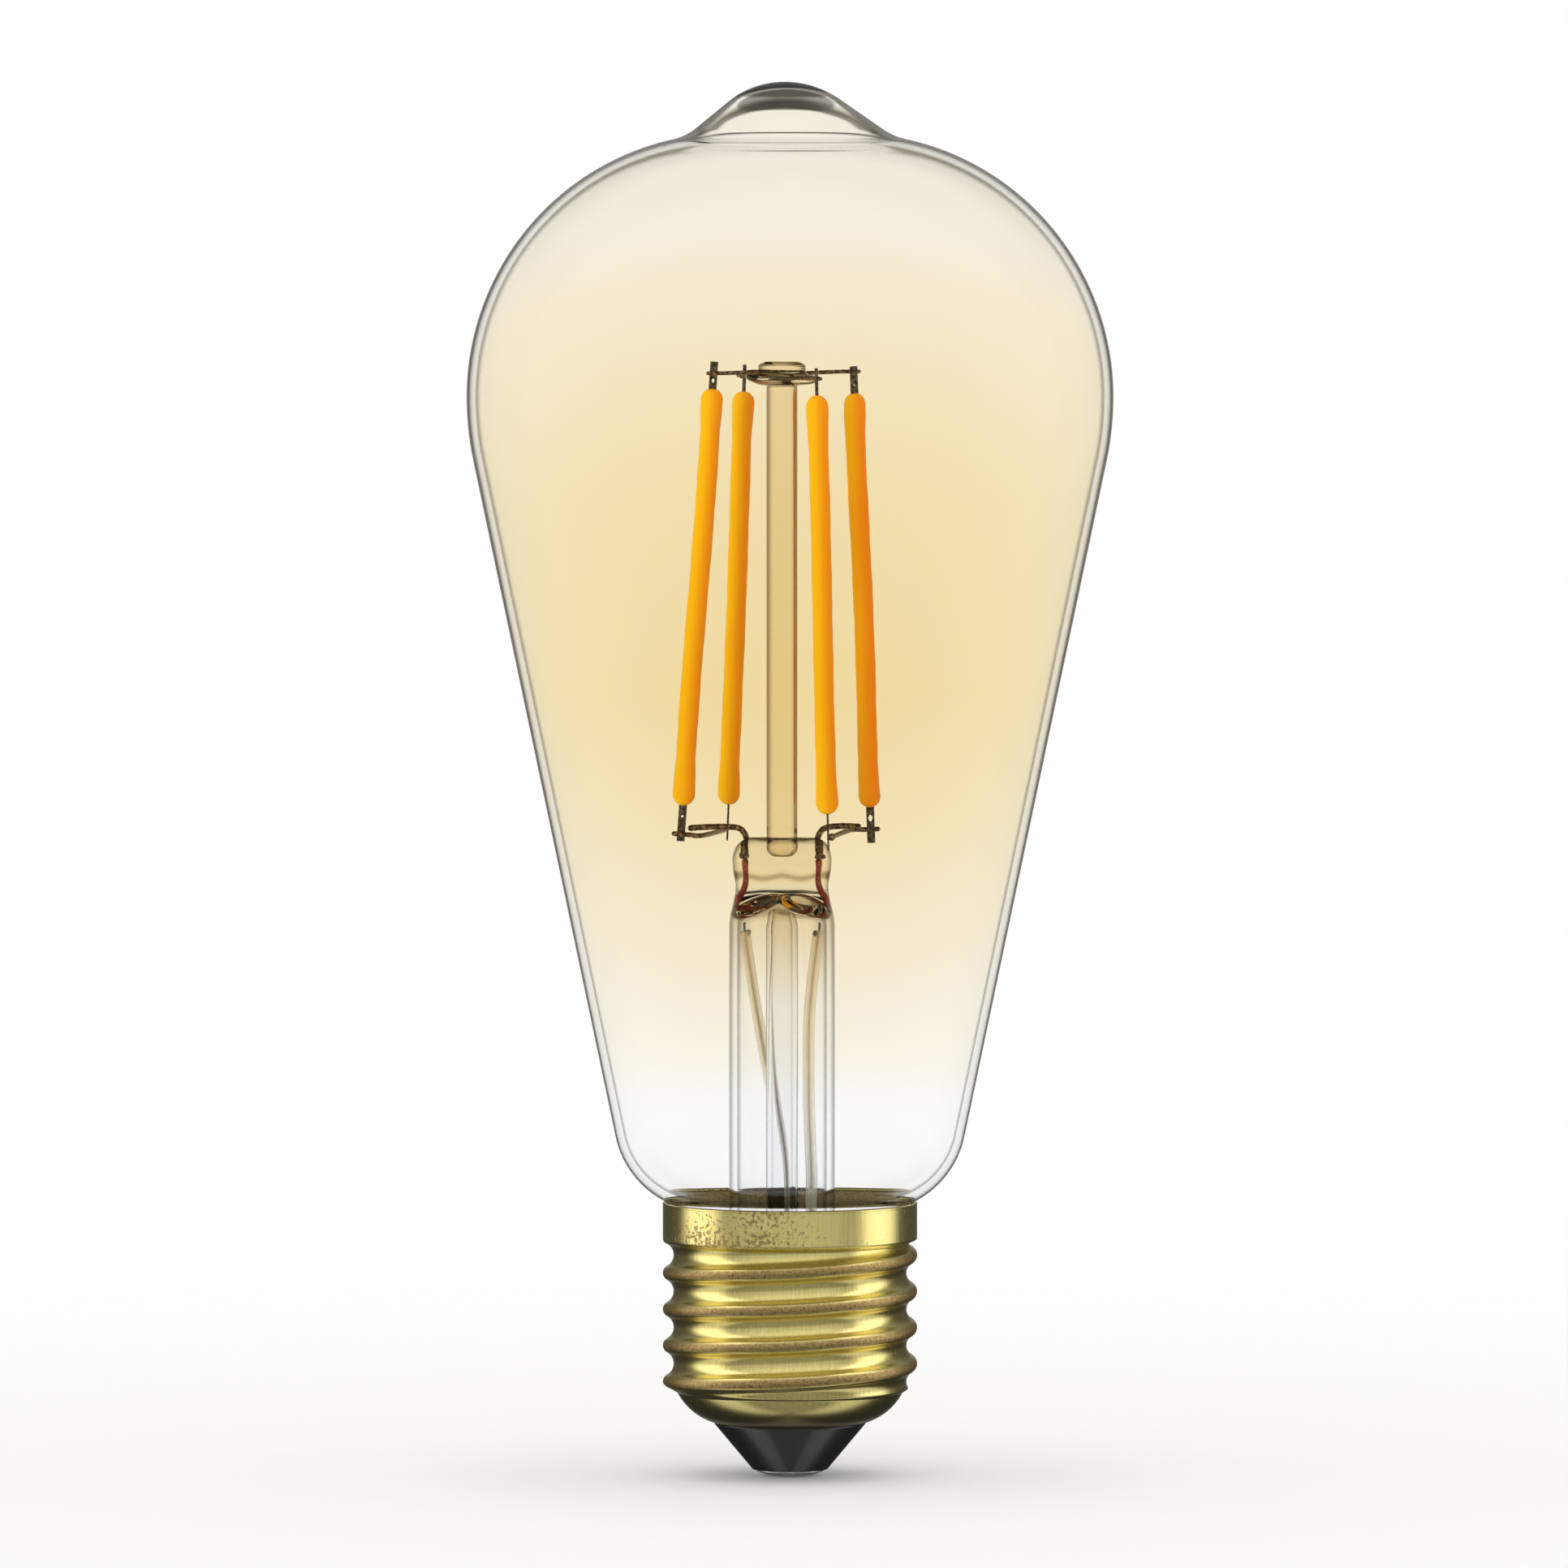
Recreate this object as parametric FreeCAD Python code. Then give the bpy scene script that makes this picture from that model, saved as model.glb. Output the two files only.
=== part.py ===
import FreeCAD, Part

"""Smart filament lamp: a tinted glass envelope on an E27 screw cap.

Row frame in millimetres: +Z runs up the lamp's axis, from the centre contact's flat (the origin) to the
tip of the glass. -Y is the front, where the seal on the stem shows its broad side.
Every function returns the solid, or the group of solids, of one separate piece.
"""

import math
import os

from FreeCAD import Matrix, Rotation, Vector

# ---------------------------------------------------------------- glass envelope
bulb_radius = 32.25          # outside, at the widest place
lamp_height = 139.3          # tip of the glass
shoulder_radius = 26.3       # arc from the widest place up to the tip's foot
tip_rise = 5.1               # the tip stands this far above that arc
equator_height = lamp_height - tip_rise - shoulder_radius
belly_radius = 31.0          # arc from the widest place down to the cone
heel_radius = 9.4            # convex arc under the cone
heel_place = (8.236, 35.914)  # radius and height of that arc's centre
throat_radius = 2.0          # concave arc from the heel to the neck
neck_radius = 11.1           # outside of the neck, inside the cap
neck_bottom = 16.6
glass_wall = 0.85
tip_radius = 9.3             # round end of the tip
tip_flank_angle = 37.0       # slope of the tip's flank, degrees
tip_foot_radius = 5.8        # concave arc round the tip's foot
tip_thickness = 1.8          # glass at the very tip

# ---------------------------------------------------------------- screw cap
thread_major_radius = 13.05  # crest of the E27 thread
thread_minor_radius = 12.0   # root of the E27 thread
thread_pitch = 3.629
thread_crest_round = 0.8
thread_phase = 22.13         # height of one crest above +X
skirt_radius = 13.1          # a sleeve that fits it also passes over the thread
cap_wall = 0.3
rim_gap = 0.05               # glass to brass, at the rim
skirt_bottom = 23.5          # the thread's grooves run out here
skirt_edge = 0.3             # half the height over which they do
dish_radius = 5.95           # round bottom of the shell
dish_centre = (6.0, 11.1)    # radius and height of the dish arc's centre
dish_top = 8.4               # the dish starts here
dish_edge_slope = 1.8        # how fast the dish leaves the thread above that
lip_height = 5.4             # lower edge of the brass

insulator_bottom = 0.65
insulator_bottom_radius = 3.75
insulator_hole_radius = 0.9
insulator_floor = 2.3        # glass under the hollow
lip_clearance = 0.12         # insulator neck to the lip's hole
lock_ring_height = 2.0       # how far the insulator stands up inside the lip
lock_ring_radius = 7.8
hollow_radius = 6.2
contact_radius = 3.4
contact_flat_radius = 1.3
contact_edge = 0.15          # straight edge of the contact disc
eyelet_bore = 0.35
eyelet_top = 2.6
hole_clearance = 0.02

# ---------------------------------------------------------------- stem
stem_offset = 0.8            # the stem is sealed in this far towards -X
flare_radius = 5.3           # outside of the flare tube
flare_wall = 0.8
flare_curve = 6.5            # arc of the skirt's outside
flare_start = 23.5           # the skirt starts to open here
flare_top = 55.6
pinch_width = 9.9
pinch_thickness = 4.6
pinch_waist = 58.4           # the round foot has flattened here
pinch_top = 63.9
pinch_corner = 1.7           # rounding of the upper edge
exhaust_radius = 1.6
exhaust_bore = 1.05
exhaust_tip = 20.2
pillar_radius = 1.55
pillar_bottom = 62.9
button_bottom = 108.9
button_flange = (3.45, 109.7)    # radius and height of the lower flange
button_head = (2.35, 110.8)      # radius and height of the upper head
button_top = 111.5

# ---------------------------------------------------------------- filaments
filament_top_radius = 7.9    # the filaments' tops, from the stem's axis
filament_bottom_radius = 10.3
filament_angles = ((209.0, 197.0), (119.0, 121.5), (296.0, 296.0), (23.5, 31.0))  # top, bottom, degrees
filament_lifts = (0.5, 0.0, -0.1, -0.1)     # how far each one is mounted above the common height
coat_top = 108.3
coat_bottom = 66.8
coat_radius = 1.0
coat_end_radius = 1.1
coat_end_length = 2.6
strip_width = 0.9
strip_thickness = 0.4
tab_width = 0.8
tab_thickness = 0.2
tab_hole_radius = 0.2
tab_hole_from_coat = 1.0
tab_hold = 1.3               # length of a tab inside the coat
tab_top = 111.0
tab_bottom = 63.2
chip_count = 24
chip_length = 0.9
chip_width = 0.5
chip_thickness = 0.15

# ---------------------------------------------------------------- wires
upper_wire_radius = 0.2
upper_wire_heights = (110.3, 109.85)
wire_end = 0.6               # how far a wire runs past a tab
hook_radius = 0.3
hook_height = 65.0
cross_wire_radius = 0.25
weld_gap = 0.01              # left between pieces that are welded side by side
hook_exit = 3.5              # the hook leaves the seal this far from the stem's axis
hook_reach = (9.4, -1.6, 7.9, 1.3)   # ends of the left and right hooks: distance out, and place along Y
hook_foot = 62.4             # the hook is welded to the sealing wire here
bead_radius = 0.42
seal_wire_radius = 0.25
seal_wire_spread = 3.85      # its lower end, from the stem's axis
lead_radius = 0.18
sleeve_radius = 0.5
sleeve_bore = 0.25
sleeve_top = 54.6
left_lead = ((-3.4, 0.5, 52.0), (-2.7, 2.2, 47.0), (-1.3, 2.75, 39.5), (0.6, 2.8, 31.5), (1.1, 2.9, 25.0),
             (2.0, 3.9, 18.5))
right_lead = ((3.3, -0.5, 52.0), (2.7, -0.9, 46.0), (2.65, -1.0, 38.5), (2.9, -0.8, 30.5),
              (3.1, -0.3, 25.0), (5.2, 1.0, 17.8))

# ---------------------------------------------------------------- driver
liner_clearance = 0.3        # liner to the shell's thread roots
liner_wall = 0.4
liner_bottom = 9.0
liner_top = 16.2
ledge_width = 0.7
ledge_thickness = 1.2
board_thickness = 1.0
board_bottom = 11.5
board_clearance = 0.15
pad_positions = ((2.2, 4.6), (6.6, 1.6))   # where the two leads meet the board
solder_radius = 0.75
capacitor_radius = 3.0
capacitor_height = 6.3
capacitor_place = (-2.4, 0.0)
choke_place = (0.0, 7.2)
choke_radius = 2.4
choke_height = 3.7
choke_flange = 0.6
choke_core_radius = 1.1
winding_radius = 2.1
rectifier_size = (4.7, 3.9, 2.4)
rectifier_place = (0.0, -7.2)
driver_chip_size = (4.9, 3.9, 1.5)
driver_chip_place = (-4.4, 4.8)
pin_size = (0.42, 1.05, 0.25)
radio_board_size = (10.0, 8.4, 0.8)
radio_board_place = (-0.5, -3.6)
radio_shield_size = (7.0, 5.6, 1.8)
shield_wall = 0.2
antenna_width = 0.4
antenna_thickness = 0.1
resistor_place = (3.2, 1.9)
resistor_radius = 1.1
resistor_bottom = 4.6
resistor_top = 9.6
small_part_size = (1.6, 0.8, 0.6)
small_part_places = ((-8.4, 2.0), (-8.6, -1.8), (-6.8, 1.1), (-0.4, 2.4), (-0.6, 5.4), (-0.4, 7.6),
                     (5.2, 6.6), (7.2, 4.6), (8.2, -1.6), (7.6, -4.0))
shell_lead_radius = 0.3
shell_lead_place = -8.8


# ---------------------------------------------------------------- tools
class Outline:
    """A closed outline in the plane of the axis, drawn point by point and revolved into a solid."""

    def __init__(self, radius, height):
        self.start = self.end = Vector(radius, 0, height)
        self.edges = []

    def line(self, radius, height):
        """A straight stretch to a point, left out where it has no length."""
        point = Vector(radius, 0, height)
        if point.distanceToPoint(self.end) > 1e-6:
            self.edges.append(Part.LineSegment(self.end, point).toShape())
            self.end = point
        return self

    def arc(self, centre, radius, height):
        """An arc about a centre to a point, by the shorter way round."""
        middle = Vector(centre[0], 0, centre[1])
        point = Vector(radius, 0, height)
        reach = (self.end - middle).Length
        halfway = ((self.end - middle) + (point - middle)).normalize() * reach + middle
        self.edges.append(Part.Arc(self.end, halfway, point).toShape())
        self.end = point
        return self

    def revolve(self):
        self.line(self.start.x, self.start.z)
        face = Part.Face(Part.Wire(self.edges))
        return face.revolve(Vector(0, 0, 0), Vector(0, 0, 1), 360)


def skin(rows):
    """A solid whose side is one smooth surface through rows of points, closed round, with flat ends."""
    around = len(rows[0])
    up = len(rows)
    surface = Part.BSplineSurface()
    knots_up = list(range(up - 2))
    ends = [4] + [1] * (up - 4) + [4]
    poles = [[rows[j][i] for j in range(up)] for i in range(around)]
    surface.buildFromPolesMultsKnots(poles, [1] * (around + 1), ends, list(range(around + 1)), knots_up,
                                     True, False, 3, 3)
    side = surface.toShape()
    caps = []
    for knot in (knots_up[0], knots_up[-1]):
        edge = surface.vIso(knot).toShape()
        caps.append(Part.Face(Part.Wire([edge])))
    solid = Part.Solid(Part.Shell(sewn(side, caps)))
    if solid.Volume < 0:
        solid.reverse()
    return solid


def sewn(side, caps):
    """The faces of a side and its ends, joined along their shared edges."""
    joined = Part.makeCompound([side] + caps)
    joined.sewShape(1e-4)
    return joined.Faces


def rod(start, end, radius):
    """A round bar between two points."""
    return Part.makeCylinder(radius, (end - start).Length, start, end - start)


def ring(outer, inner, bottom, top):
    """A plain tube about the axis."""
    return Outline(inner, bottom).line(outer, bottom).line(outer, top).line(inner, top).revolve()


def box(size, place, bottom):
    """A block that is centred on a place and stands at a height."""
    corner = Vector(place[0] - size[0] / 2, place[1] - size[1] / 2, bottom)
    return Part.makeBox(size[0], size[1], size[2], corner)


def bent_wire(points, radius, longest_cut=10.0):
    """A round wire along straight runs that tangent arcs join. An arc cuts a corner by the same share of the
    shorter run, and by no more than the longest cut."""
    points = [Vector(p) for p in points]
    share = 0.45
    edges = []
    last = points[0]
    for before, corner, after in zip(points, points[1:], points[2:]):
        back = (before - corner)
        ahead = (after - corner)
        cut = min(share * min(back.Length, ahead.Length), longest_cut)
        back.normalize()
        ahead.normalize()
        enter = corner + back * cut
        leave = corner + ahead * cut
        half_angle = back.getAngle(ahead) / 2
        bisector = (back + ahead).normalize()
        bend = cut * math.tan(half_angle)
        centre = corner + bisector * (cut / math.cos(half_angle))
        edges.append(Part.LineSegment(last, enter).toShape())
        edges.append(Part.Arc(enter, centre - bisector * bend, leave).toShape())
        last = leave
    edges.append(Part.LineSegment(last, points[-1]).toShape())
    path = Part.Wire(edges)
    start = points[0]
    direction = points[1] - points[0]
    circle = Part.Wire([Part.Circle(start, direction, radius).toShape()])
    return path.makePipeShell([circle], True, True)


def on_stem(shape):
    """Moves a piece from the stem's own axis to the stem's place in the lamp."""
    shape.translate(Vector(-stem_offset, 0, 0))
    return shape


def polar(radius, degrees, height):
    angle = math.radians(degrees)
    return Vector(radius * math.cos(angle), radius * math.sin(angle), height)


def smooth(value, low, high):
    """0 below low, 1 above high, with an even rise between them."""
    t = min(1.0, max(0.0, (value - low) / (high - low)))
    return t * t * (3 - 2 * t)


# ---------------------------------------------------------------- glass envelope
shoulder_centre = (bulb_radius - shoulder_radius, equator_height)
belly_centre = (bulb_radius - belly_radius, equator_height)
tip_centre = (0.0, lamp_height - tip_radius)


def cone_slope():
    """Half angle of the cone, whose side touches both the belly's arc and the heel's."""
    across = belly_centre[0] - heel_place[0]
    up = belly_centre[1] - heel_place[1]
    return math.acos((heel_radius - belly_radius) / math.hypot(across, up)) - math.atan2(up, across)


def throat_circle():
    """Centre of the concave arc that touches both the heel's arc and the neck."""
    radius = neck_radius + throat_radius
    drop = math.sqrt((heel_radius + throat_radius) ** 2 - (radius - heel_place[0]) ** 2)
    return radius, heel_place[1] - drop


def tip_foot_circle():
    """Centre of the concave arc that touches both the tip's flank and the shoulder's arc."""
    flank = math.radians(tip_flank_angle)
    outward = Vector(math.sin(flank), 0, math.cos(flank))
    down = Vector(math.cos(flank), 0, -math.sin(flank))
    start = Vector(tip_centre[0], 0, tip_centre[1]) + outward * (tip_radius + tip_foot_radius)
    start = start - Vector(shoulder_centre[0], 0, shoulder_centre[1])
    reach = shoulder_radius + tip_foot_radius
    along = -start.dot(down) - math.sqrt(start.dot(down) ** 2 - start.dot(start) + reach ** 2)
    centre = start + down * along
    return centre.x + shoulder_centre[0], centre.z + shoulder_centre[1]


def toward(centre, target, distance):
    """The point at a distance from one centre on the way to another."""
    span = math.hypot(target[0] - centre[0], target[1] - centre[1])
    return (centre[0] + (target[0] - centre[0]) * distance / span,
            centre[1] + (target[1] - centre[1]) * distance / span)


def envelope_side(outline, depth, cap_centre, cap_radius):
    """Draws the glass surface a depth inside the outer one, from the tip down to the neck's end."""
    flank = math.radians(tip_flank_angle)
    slope = cone_slope()
    foot = tip_foot_circle()
    throat = throat_circle()
    tip_end = (cap_centre[0] + cap_radius * math.sin(flank), cap_centre[1] + cap_radius * math.cos(flank))
    foot_start = (foot[0] - (tip_foot_radius + depth) * math.sin(flank),
                  foot[1] - (tip_foot_radius + depth) * math.cos(flank))
    foot_end = toward(shoulder_centre, foot, shoulder_radius - depth)
    cone_top = (belly_centre[0] + (belly_radius - depth) * math.cos(slope),
                equator_height - (belly_radius - depth) * math.sin(slope))
    cone_end = (heel_place[0] + (heel_radius - depth) * math.cos(slope),
                heel_place[1] - (heel_radius - depth) * math.sin(slope))
    heel_end = toward(heel_place, throat, heel_radius - depth)
    outline.arc(cap_centre, *tip_end)
    outline.line(*foot_start)
    outline.arc(foot, *foot_end)
    outline.arc(shoulder_centre, bulb_radius - depth, equator_height)
    outline.arc(belly_centre, *cone_top)
    outline.line(*cone_end)
    outline.arc(heel_place, *heel_end)
    outline.arc(throat, neck_radius - depth, throat[1])
    outline.line(neck_radius - depth, neck_bottom)
    return outline


def envelope_body(depth, cap_centre, cap_radius):
    """The solid inside one of the two glass surfaces."""
    outline = Outline(0, cap_centre[1] + cap_radius)
    envelope_side(outline, depth, cap_centre, cap_radius).line(0, neck_bottom)
    return outline.revolve()


def glass_envelope():
    flank = math.radians(tip_flank_angle)
    inner_tip = lamp_height - tip_thickness
    flank_reach = tip_centre[1] * math.cos(flank) + tip_radius - glass_wall
    inner_tip_radius = (flank_reach - inner_tip * math.cos(flank)) / (1 - math.cos(flank))
    outer = envelope_body(0.0, tip_centre, tip_radius)
    inner = envelope_body(glass_wall, (0.0, inner_tip - inner_tip_radius), inner_tip_radius)
    return outer.cut(inner)


def rim_height():
    """Where the cap's rim meets the glass: the heel's arc at the skirt's inner radius, less the gap."""
    across = skirt_radius - cap_wall - rim_gap - heel_place[0]
    return heel_place[1] - math.sqrt(heel_radius ** 2 - across ** 2)


# ---------------------------------------------------------------- screw cap
def thread_wave(offset):
    """Radius of the thread at an axial distance from a crest: a crest arc and a root arc that touch."""
    half_pitch = thread_pitch / 2
    depth = thread_major_radius - thread_minor_radius
    turn = 2 * math.atan(depth / half_pitch)
    root_round = half_pitch / math.sin(turn) - thread_crest_round
    if abs(offset) <= thread_crest_round * math.sin(turn):
        return thread_major_radius - thread_crest_round + math.sqrt(thread_crest_round ** 2 - offset ** 2)
    from_root = half_pitch - abs(offset)
    return thread_minor_radius + root_round - math.sqrt(root_round ** 2 - from_root ** 2)


def dish_edge(height):
    """Radius of the shell's round bottom, which leaves the thread above the dish's top."""
    below = min(height, dish_top)
    radius = dish_centre[0] + math.sqrt(dish_radius ** 2 - (dish_centre[1] - below) ** 2)
    return radius + dish_edge_slope * (height - below)


def shell_radius(angle, height):
    """Outside of the brass shell: skirt, thread and round bottom."""
    rise = height - thread_phase - thread_pitch * angle / (2 * math.pi)
    wave = thread_wave(rise - round(rise / thread_pitch) * thread_pitch)
    skirt = smooth(height, skirt_bottom - skirt_edge, skirt_bottom + skirt_edge)
    radius = wave + (skirt_radius - wave) * skirt
    return smooth_minimum(radius, dish_edge(height), 0.25)


def smooth_minimum(a, b, blend):
    """The smaller of two lengths, with the corner between them rounded over a blend."""
    share = max(blend - abs(a - b), 0) / blend
    return min(a, b) - share * share * blend / 4


def shell_form(wall, bottom, top):
    """The solid inside the brass shell's outer surface, or a wall's thickness further in."""
    around = 96
    step = 0.24
    rows_count = int(round((top - bottom) / step))
    probe = 0.02
    swell = 3 / (2 + math.cos(2 * math.pi / around))   # a curve runs this much inside the poles of a circle
    rows = []
    for j in range(rows_count + 1):
        height = bottom + (top - bottom) * j / rows_count
        row = []
        for i in range(around):
            angle = 2 * math.pi * i / around
            radius = shell_radius(angle, height)
            above = shell_radius(angle, height + probe)
            below = shell_radius(angle, height - probe)
            slope = (above - below) / (2 * probe)
            radius -= wall * math.sqrt(1 + slope * slope)
            radius *= swell
            row.append(Vector(radius * math.cos(angle), radius * math.sin(angle), height))
        rows.append(row)
    return skin(rows)


def screw_shell():
    return shell_form(0.0, lip_height, rim_height()).cut(shell_cavity())


def shell_cavity():
    """The space inside the brass shell, a little longer than the shell at both ends."""
    past = 0.05
    return shell_form(cap_wall, lip_height - past, rim_height() + past)


def lip_hole_radius():
    """Radius of the hole that the lip leaves, as the shell's inner surface has it."""
    reach = dish_centre[1] - lip_height
    across = math.sqrt(dish_radius ** 2 - reach ** 2)
    return dish_centre[0] + across - cap_wall * math.sqrt(1 + (reach / across) ** 2)


def lip_radius():
    return dish_centre[0] + math.sqrt(dish_radius ** 2 - (dish_centre[1] - lip_height) ** 2)


def cap_insulator():
    neck = lip_hole_radius() - lip_clearance
    lock = lip_height + 0.9
    top = lip_height + lock_ring_height
    outline = Outline(insulator_hole_radius, insulator_bottom)
    outline.line(insulator_bottom_radius, insulator_bottom)
    outline.line(lip_radius(), lip_height).line(neck, lip_height)
    outline.line(neck, lock).line(lock_ring_radius, lock + 0.2).line(lock_ring_radius, top)
    outline.line(hollow_radius, top).line(hollow_radius - 0.4, resistor_bottom - 0.2)
    outline.line(insulator_hole_radius + 1.0, insulator_floor).line(insulator_hole_radius, insulator_floor)
    return outline.revolve()


def centre_contact():
    eyelet = insulator_hole_radius - hole_clearance
    dome = insulator_bottom - contact_edge
    across = contact_radius - contact_flat_radius
    round_radius = (across ** 2 + dome ** 2) / (2 * dome)
    outline = Outline(eyelet_bore, 0).line(contact_flat_radius, 0)
    outline.arc((contact_flat_radius, round_radius), contact_radius, dome)
    outline.line(contact_radius, insulator_bottom).line(eyelet, insulator_bottom)
    outline.line(eyelet, eyelet_top).line(eyelet_bore, eyelet_top)
    return outline.revolve()


def capping_cement():
    """Cement that fills the gap between the neck and the shell, moulded to the thread's inside."""
    fill = ring(skirt_radius, neck_radius, neck_bottom + 1.0, rim_height() - 0.7)
    fill = fill.cut(envelope_body(0.0, tip_centre, tip_radius))
    return fill.common(shell_cavity())


def liner_radius():
    return thread_minor_radius - cap_wall - liner_clearance


def insulating_liner():
    outer = liner_radius()
    inner = outer - liner_wall
    ledge = board_bottom - ledge_thickness
    outline = Outline(outer, liner_bottom).line(outer, liner_top).line(inner, liner_top)
    outline.line(inner, board_bottom)
    outline.line(inner - ledge_width, board_bottom).line(inner - ledge_width, ledge + 0.3)
    outline.line(inner, ledge - 0.4).line(inner, liner_bottom)
    return outline.revolve()


# ---------------------------------------------------------------- stem
def stem_flare_tube():
    """Tube with an open skirt, trimmed to the neck's bore where it is sealed in."""
    centre = (flare_radius + flare_curve, flare_start)
    foot = flare_start - flare_curve
    inner_curve = flare_curve + flare_wall
    rim = centre[0] - 0.05 * flare_curve
    outer_foot = centre[1] - math.sqrt(flare_curve ** 2 - (centre[0] - rim) ** 2)
    inner_foot = centre[1] - math.sqrt(inner_curve ** 2 - (centre[0] - rim) ** 2)
    outline = Outline(flare_radius, flare_top).line(flare_radius, flare_start).arc(centre, rim, outer_foot)
    outline.line(rim, inner_foot).arc(centre, flare_radius - flare_wall, flare_start)
    outline.line(flare_radius - flare_wall, flare_top)
    bore = Part.makeCylinder(neck_radius - glass_wall, flare_top, Vector(0, 0, foot - flare_wall - 1))
    return on_stem(outline.revolve()).common(bore)


def exhaust_tube():
    """Tube that the lamp was filled through, drawn out to a sealed point."""
    taper = 2.4
    outline = Outline(exhaust_bore, flare_top).line(exhaust_radius, flare_top)
    outline.line(exhaust_radius, exhaust_tip + taper).line(exhaust_radius * 0.35, exhaust_tip)
    outline.line(0, exhaust_tip).line(0, exhaust_tip + taper * 0.5)
    outline.line(exhaust_bore, exhaust_tip + taper * 1.3)
    return on_stem(outline.revolve())


def pinch_row(height, inset):
    """One level of the pressed seal: a circle at its foot that flattens to an oblong higher up."""
    around = 48
    flat = smooth(height, flare_top, pinch_waist)
    half_x = flare_radius + (pinch_width / 2 - flare_radius) * flat - inset
    half_y = flare_radius + (pinch_thickness / 2 - flare_radius) * flat - inset
    power = 1 - 0.38 * flat
    row = []
    for i in range(around):
        c = math.cos(2 * math.pi * i / around)
        s = math.sin(2 * math.pi * i / around)
        x = math.copysign(abs(c) ** power, c) * half_x
        y = math.copysign(abs(s) ** power, s) * half_y
        row.append(Vector(x, y, height))
    return row


def stem_pinch():
    """Pressed glass seal, with the wires and the foot of the pillar sealed in."""
    levels = 10
    straight = pinch_top - pinch_corner - flare_top
    rows = [pinch_row(flare_top + straight * j / levels, 0) for j in range(levels)]
    quarter_steps = 6
    for j in range(quarter_steps + 1):
        angle = math.pi / 2 * j / quarter_steps
        height = pinch_top - pinch_corner * (1 - math.sin(angle))
        rows.append(pinch_row(height, pinch_corner * (1 - math.cos(angle))))
    solid = on_stem(skin(rows)).cut(stem_pillar())
    for side in (-1, 1):
        solid = solid.cut(hook_wire(side)).cut(seal_wire(side))
    return solid


def stem_pillar():
    rounding = pillar_radius * 0.8
    outline = Outline(0, pillar_bottom).line(pillar_radius - rounding, pillar_bottom)
    shoulder = pillar_bottom + rounding
    outline.arc((pillar_radius - rounding, shoulder), pillar_radius, shoulder)
    outline.line(pillar_radius, button_bottom).line(0, button_bottom)
    return on_stem(outline.revolve())


def pillar_button():
    """Pressed glass knob on the pillar, with the two upper wires through it."""
    flange_radius, flange_height = button_flange
    head_radius, head_height = button_head
    edge = 0.45
    outline = Outline(0, button_bottom).line(pillar_radius + 0.3, button_bottom)
    outline.line(flange_radius - edge, flange_height - edge)
    outline.arc((flange_radius - edge, flange_height), flange_radius, flange_height)
    outline.arc((flange_radius - edge, flange_height), flange_radius - edge, flange_height + edge)
    outline.line(head_radius, head_height - 0.35).line(head_radius, head_height)
    outline.arc((head_radius - 0.5, head_height), head_radius - 0.5, head_height + 0.5)
    outline.line(0, button_top)
    solid = on_stem(outline.revolve())
    for wire in (upper_wire(0, 3), upper_wire(1, 2)):
        solid = solid.cut(wire)
    return solid


# ---------------------------------------------------------------- filaments
def filament_line(n):
    """Lower and upper ends of filament n's axis, from the stem's axis."""
    top_angle, bottom_angle = filament_angles[n]
    lower = polar(filament_bottom_radius, bottom_angle, coat_bottom + filament_lifts[n])
    return lower, polar(filament_top_radius, top_angle, coat_top + filament_lifts[n])


def filament_point(n, height):
    """Where filament n's axis passes a height."""
    low, high = filament_line(n)
    return low + (high - low) * ((height - low.z) / (high.z - low.z))


def filament_axis(n):
    low, high = filament_line(n)
    return (high - low).normalize()


def filament_middle(n):
    """Height of a filament's middle."""
    low, high = filament_line(n)
    return (low.z + high.z) / 2


def wire_direction(n, upper):
    """Direction of the wire that a tab is welded to, level, and outward from the stem."""
    if upper:
        partner = {0: 3, 3: 0, 1: 2, 2: 1}[n]
        height = upper_wire_heights[0 if n in (0, 3) else 1]
        return (filament_point(n, height) - filament_point(partner, height)).normalize()
    low = filament_line(n)[0]
    if n in (0, 3):
        return Vector(math.copysign(1, low.x), 0, 0)
    return Vector(0, math.copysign(1, low.y), 0)


def tab_face(n, upper):
    """Normal of a tab: square to its filament and to its wire."""
    return filament_axis(n).cross(wire_direction(n, upper)).normalize()


def along_filament(shape, n, height, normal):
    """Moves a shape modelled about Z, with its flat side towards +Y, onto filament n's axis at a height."""
    axis = filament_axis(n)
    side = normal.cross(axis)
    place = filament_point(n, height)
    shape = shape.copy()
    shape.transformShape(Matrix(side.x, normal.x, axis.x, place.x, side.y, normal.y, axis.y, place.y,
                                side.z, normal.z, axis.z, place.z, 0, 0, 0, 1))
    return on_stem(shape)


def tab(n, upper):
    """Punched metal strip that carries one end of a filament."""
    outside = tab_top - coat_top if upper else coat_bottom - tab_bottom
    sign = 1 if upper else -1
    length = outside + tab_hold
    start = -tab_hold if upper else -outside
    corner = Vector(-tab_width / 2, -tab_thickness / 2, start)
    strip = Part.makeBox(tab_width, tab_thickness, length, corner)
    hole_end = Vector(0, -tab_width / 2, sign * tab_hole_from_coat)
    hole = Part.makeCylinder(tab_hole_radius, tab_width, hole_end, Vector(0, 1, 0))
    return along_filament(strip.cut(hole), n, filament_line(n)[1 if upper else 0].z, tab_face(n, upper))


def end_tabs(n):
    return Part.makeCompound([tab(n, True), tab(n, False)])


def strip_length(n):
    low, high = filament_line(n)
    return (high - low).Length - 2 * tab_hold


def filament_strip(n):
    """Ceramic strip between the two tabs."""
    length = strip_length(n)
    block = Part.makeBox(strip_width, strip_thickness, length,
                         Vector(-strip_width / 2, -strip_thickness / 2, -length / 2))
    return along_filament(block, n, filament_middle(n), tab_face(n, True))


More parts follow.
